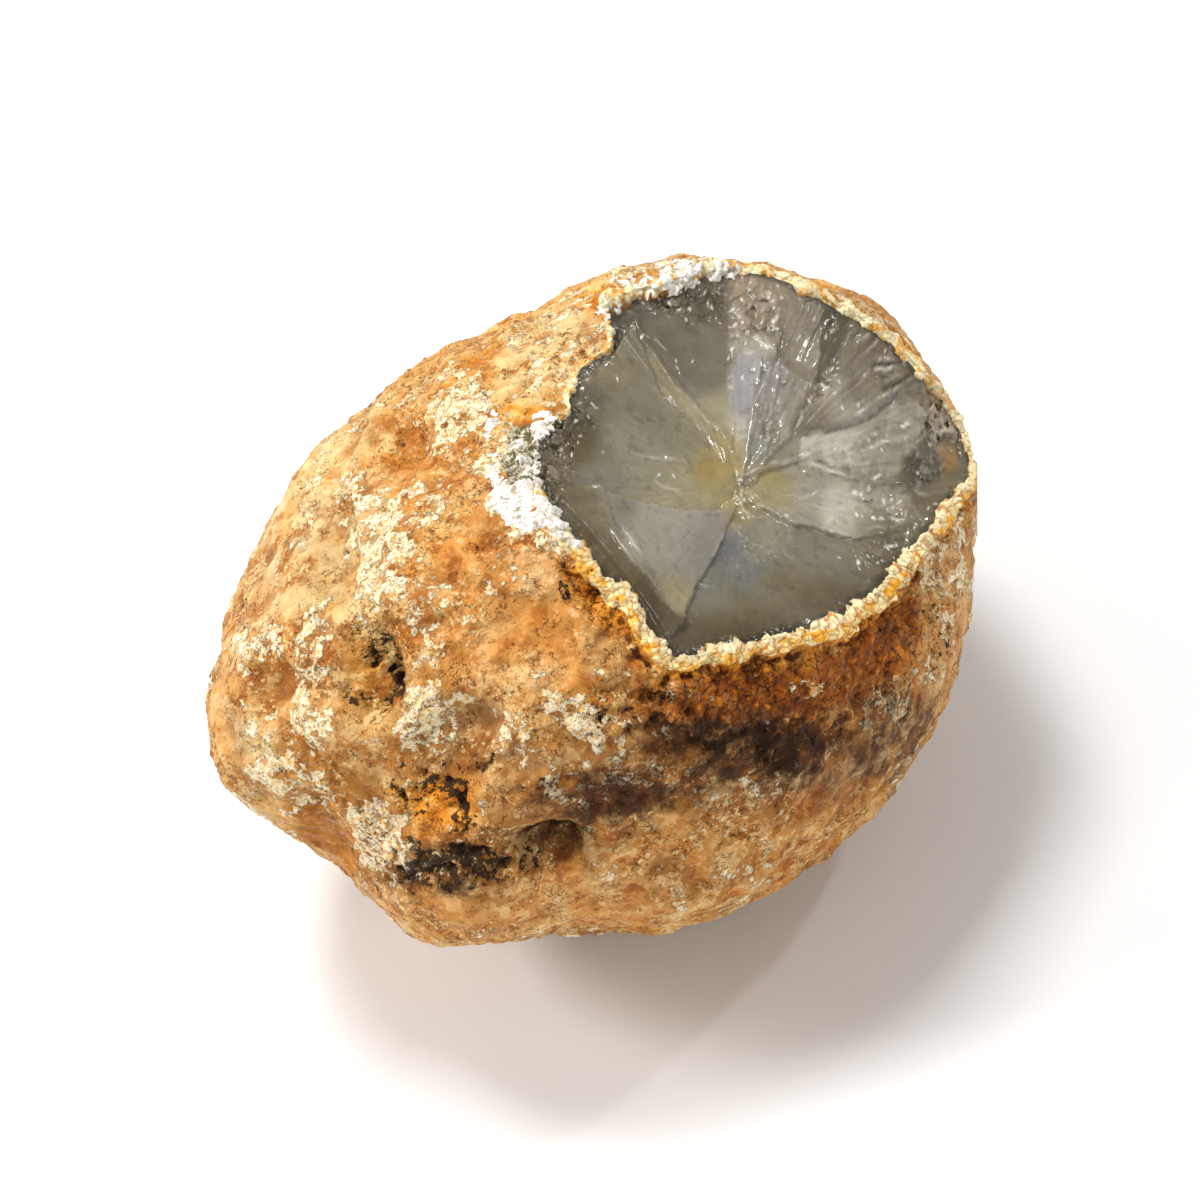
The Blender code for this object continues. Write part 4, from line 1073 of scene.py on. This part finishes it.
def rind_material():
    g = Graph("weathered_rind")
    crumb = g.noise(1.5, 6, 0.70)
    grit = g.noise(0.58, 4, 0.65, 0.031)
    cracks = g.math("ABSOLUTE", g.less(g.noise(1.15, 4, 0.62, 0.047), 0.5))
    blotch = g.noise(2.6, 5, 0.68, 0.013)
    pock = g.noise(0.90, 4, 0.70, 0.057)
    speck = g.noise(0.60, 4, 0.70, 0.071)
    vein = g.math("ABSOLUTE", g.less(g.noise(1.3, 3, 0.6, 0.083), 0.5))
    broken = g.ease(g.noise(2.1, 3, 0.5, 0.019), 0.50, 0.58)
    flocks = g.ease(g.noise(4.2, 4, 0.6, 0.093), 0.46, 0.58, 0.10, 1.0)

    cream, pitted, smooth = g.mark("cream"), g.mark("pitted"), g.mark("smooth")
    domes, stain_and_painted_shadow = g.mark("domes"), g.mark("stain_and_painted_shadow")
    plain = g.times(g.less(1.0, g.times(smooth, 0.70)), g.less(1.0, g.math("MAXIMUM", g.times(domes, 0.85), g.times(stain_and_painted_shadow, 0.7))))
    colour = g.mark("tint", "Color")
    # the skin: mottled, with thin broken cracks and dark specks; paler on the raised tops of its bumps and grit,
    # partly its own paler grains and partly painted light, and painted shade in its low places
    darker = g.mix(1.0, colour, srgb(0.82, 0.68, 0.49), "MULTIPLY")
    colour = g.mix(g.times(plain, g.ease(blotch, 0.55, 0.60, 0.0, 0.50)), colour, srgb(1.0, 0.86, 0.60))
    colour = g.mix(g.times(g.ease(blotch, 0.47, 0.41, 0.0, 0.85), g.less(1.0, g.times(smooth, 0.5))), colour, darker)
    tops = g.times(g.times(plain, flocks), g.ease(grit, 0.555, 0.59))
    colour = g.mix(g.times(tops, 0.70), colour, srgb(1.0, 0.91, 0.66))
    colour = g.mix(g.times(broken, g.ease(vein, 0.026, 0.006, 0.0, 0.85)), colour, srgb(0.40, 0.23, 0.08))
    # cream grains
    reach = g.add(crumb, g.times(g.less(cream, 0.5), 0.26))
    grains = g.ease(reach, 0.535, 0.575)
    colour = g.mix(g.times(grains, 0.86), colour, g.mix(g.ease(grit, 0.40, 0.52), srgb(0.97, 0.79, 0.50), srgb(1.0, 0.96, 0.82)))
    # browner in the gaps between the cream grains: partly the brown between them, partly painted shade
    in_gaps = g.times(g.ease(g.mark("grain_gap"), 0.40, 0.05), cream)
    colour = g.mix(g.times(in_gaps, 0.65), colour, srgb(0.66, 0.39, 0.13))
    crannies = g.times(g.ease(cracks, 0.024, 0.007), g.math("MAXIMUM", g.times(cream, 0.9), g.times(flocks, 0.7)))
    colour = g.mix(g.times(crannies, 0.85), colour, srgb(0.48, 0.26, 0.06))
    # dark specks, fewer where it is smooth
    specks = g.times(flocks, g.ease(g.add(speck, g.times(smooth, 0.05)), 0.412, 0.388))
    colour = g.mix(g.times(specks, 0.80), colour, srgb(0.34, 0.17, 0.04))
    # painted shade in the low places between the grains
    shaded = g.times(g.times(flocks, plain), g.ease(crumb, 0.43, 0.385))
    colour = g.mix(g.times(shaded, 0.75), colour, srgb(0.44, 0.25, 0.07))
    # round domes of the stained rind: dark outlines in the creases between them, painted shade, and lit tops, painted
    # light
    outline = g.times(g.times(g.ease(g.mark("between"), 0.45, 0.05), domes), g.ease(crumb, 0.58, 0.46, 0.15, 1.0))
    colour = g.mix(g.times(outline, 0.85), colour, srgb(0.22, 0.09, 0.01))
    nooks = g.times(g.ease(cracks, 0.030, 0.010), g.math("MAXIMUM", g.times(domes, 0.9), g.times(stain_and_painted_shadow, 0.8)))
    colour = g.mix(g.times(nooks, 0.80), colour, srgb(0.20, 0.09, 0.01))
    top_light = g.times(g.times(g.ease(g.mark("between"), 0.3, 0.8), domes), g.ease(crumb, 0.50, 0.58))
    colour = g.mix(g.times(top_light, 0.60), colour, srgb(0.92, 0.56, 0.12))
    # stain and painted shadow low on the stone, under the break: darkened to deep brown, with a few tan tops
    stain_and_shadow_amount = g.times(stain_and_painted_shadow, g.ease(blotch, 0.62, 0.50, 0.30, 0.95))
    colour = g.mix(g.times(stain_and_shadow_amount, 0.90), colour, g.mix(0.65, g.mix(1.0, colour, srgb(0.50, 0.35, 0.17), "MULTIPLY"),
                                                        srgb(0.18, 0.095, 0.015)))
    # black pits
    reach = g.add(pock, g.times(g.less(pitted, 1.0), 0.27))
    pits = g.ease(reach, 0.500, 0.535)
    colour = g.mix(g.times(pits, 0.93), colour, srgb(0.17, 0.105, 0.05))
    holes = g.times(g.ease(g.mark("holes"), 0.35, 0.9), g.ease(pock, 0.43, 0.49, 0.15, 0.85))
    colour = g.mix(holes, colour, srgb(0.15, 0.09, 0.04))
    # the broken edge: cream beads, orange between them
    beads = g.mix(g.ease(crumb, 0.45, 0.55), srgb(1.0, 0.73, 0.25), srgb(1.0, 0.94, 0.70))
    beads = g.mix(g.ease(g.mark("inner"), 0.2, 0.8, 0.0, 0.65), beads, srgb(1.0, 0.96, 0.80))
    beads = g.mix(g.ease(g.mark("grain_gap"), 0.40, 0.05, 0.0, 0.80), beads, srgb(0.74, 0.40, 0.05))
    pale_beads = g.mix(g.ease(crumb, 0.42, 0.54), srgb(0.90, 0.66, 0.30), srgb(1.0, 0.94, 0.76))
    beads = g.mix(g.mark("below"), pale_beads, beads)
    colour = g.mix(g.ease(g.mark("crust"), 0.30, 0.60), colour, beads)
    # dark brown in the crevice round the crust: partly its own colour, partly painted shade
    colour = g.mix(g.times(g.ease(g.mark("crevice"), 0.25, 0.8), g.ease(crumb, 0.56, 0.44)), colour, srgb(0.32, 0.15, 0.03))
    colour = g.mix(g.mark("wall"), colour, srgb(0.52, 0.36, 0.17))
    # bare crystals and white grains by the break
    lobe = g.mix(g.ease(grit, 0.42, 0.60), srgb(0.40, 0.36, 0.25), srgb(0.88, 0.84, 0.72))
    colour = g.mix(g.ease(g.mark("lobe"), 0.3, 0.7), colour, lobe)
    snow = g.mix(g.ease(g.mark("grain_gap"), 0.35, 0.05, 0.0, 0.75), srgb(1.0, 0.98, 0.94), srgb(0.62, 0.50, 0.33))
    colour = g.mix(g.ease(g.add(g.mark("white"), g.times(g.less(grit, 0.5), 0.8)), 0.38, 0.56), colour, snow)

    g.join(colour, g.shader.inputs["Base Color"])
    g.join(g.ease(grit, 0.44, 0.60, 0.66, 0.40), g.shader.inputs["Roughness"])
    g.shader.inputs["Specular IOR Level"].default_value = 0.16
    height = g.add(g.times(g.add(grit, g.times(blotch, 1.5)), plain), g.times(grains, 0.35))
    height = g.add(height, g.times(g.times(crumb, 1.2), g.math("MAXIMUM", domes, stain_and_painted_shadow)))
    height = g.less(height, g.times(pits, 0.9))
    g.join(g.bump(height, 0.28, 1.0), g.shader.inputs["Normal"])
    return g.material


def chalcedony_material():
    g = Graph("grey_chalcedony")
    cloud = g.noise(5.0, 4, 0.55)
    wisp = g.noise(1.4, 4, 0.6, 0.021)
    micro = g.noise(0.45, 3, 0.6, 0.033)
    colour = g.mix(g.ease(cloud, 0.40, 0.64, 0.0, 0.16), g.mark("tint", "Color"), srgb(0.60, 0.59, 0.52))
    colour = g.mix(g.ease(wisp, 0.46, 0.34, 0.0, 0.25), colour, srgb(0.24, 0.22, 0.16))
    g.join(colour, g.shader.inputs["Base Color"])
    rough = g.add(g.mark("gloss"), g.ease(micro, 0.45, 0.70, -0.04, 0.14))
    g.join(rough, g.shader.inputs["Roughness"])
    g.shader.inputs["IOR"].default_value = 1.54
    g.shader.inputs["Subsurface Weight"].default_value = 0.30
    g.shader.inputs["Subsurface Radius"].default_value = (1.0, 1.0, 0.85)
    g.shader.inputs["Subsurface Scale"].default_value = 1.6 * MM
    g.shader.inputs["Coat Weight"].default_value = 0.30
    g.shader.inputs["Coat Roughness"].default_value = 0.08
    normal = g.bump(wisp, 0.05, 0.5)
    normal = g.bump(micro, 0.02, 0.5, normal)
    g.join(normal, g.shader.inputs["Normal"])
    return g.material


def floor_material():
    g = Graph("floor_white")
    soft = g.noise(60.0, 3, 0.5)
    g.join(g.mix(g.ease(soft, 0.3, 0.7), (0.90, 0.90, 0.90, 1.0), (0.93, 0.93, 0.93, 1.0)), g.shader.inputs["Base Color"])
    g.shader.inputs["Roughness"].default_value = 0.7
    return g.material


# ---------------------------------------------------------------- the scene
for piece in (*make_rind(), make_core()):
    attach(piece, "root")
    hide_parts("agate_nodule")

floor_mesh = bpy.data.meshes.new("floor")
floor_mesh.from_pydata([(-3, -3, 0), (3, -3, 0), (3, 3, 0), (-3, 3, 0)], [], [(0, 1, 2, 3)])
floor_mesh.materials.append(floor_material())
floor = bpy.data.objects.new("floor", floor_mesh)
bpy.context.scene.collection.objects.link(floor)

world = bpy.data.worlds.new("studio")
bpy.context.scene.world = world
world.use_nodes = True
world.node_tree.nodes["Background"].inputs["Color"].default_value = (1.0, 1.0, 1.0, 1)
world.node_tree.nodes["Background"].inputs["Strength"].default_value = 0.32


def softbox(name, where, size, power, at=(0.0, 0.0, 0.03)):
    data = bpy.data.lights.new(name, "AREA")
    data.shape = "RECTANGLE"
    data.size, data.size_y = size
    data.energy = power
    lamp = bpy.data.objects.new(name, data)
    lamp.location = where
    lamp.rotation_euler = (Vector(at) - Vector(where)).to_track_quat("-Z", "Y").to_euler()
    bpy.context.scene.collection.objects.link(lamp)
    return lamp


softbox("overhead", (-0.25, 0.15, 1.00), (0.30, 0.30), 7.2)
softbox("left_window", (-0.75, -0.10, 0.55), (0.22, 0.35), 5.0)
softbox("sparkle", (0.55, 0.35, 0.75), (0.05, 0.05), 1.0)
softbox("fill", (0.55, -0.65, 0.50), (0.30, 0.30), 1.8)

camera_data = bpy.data.cameras.new("camera")
camera = bpy.data.objects.new("camera", camera_data)
bpy.context.scene.collection.objects.link(camera)
camera_data.sensor_width = 36.0
camera_data.lens = 18.0 * CLOSER / (600 / FOCAL_PX)
back = unit(EYE)
side = unit(RIGHT - (RIGHT @ back) * back)
top = np.cross(back, side)
turn = Matrix([[side[i], top[i], back[i]] for i in range(3)]).to_4x4()
camera.matrix_world = Matrix.Translation(Vector((EYE + SHIFT) * MM)) @ turn
camera_data.clip_start = 0.01
bpy.context.scene.camera = camera

bpy.context.scene.view_settings.view_transform = "Standard"
bpy.context.scene.view_settings.look = "None"
bpy.context.scene.view_settings.exposure = 0.0
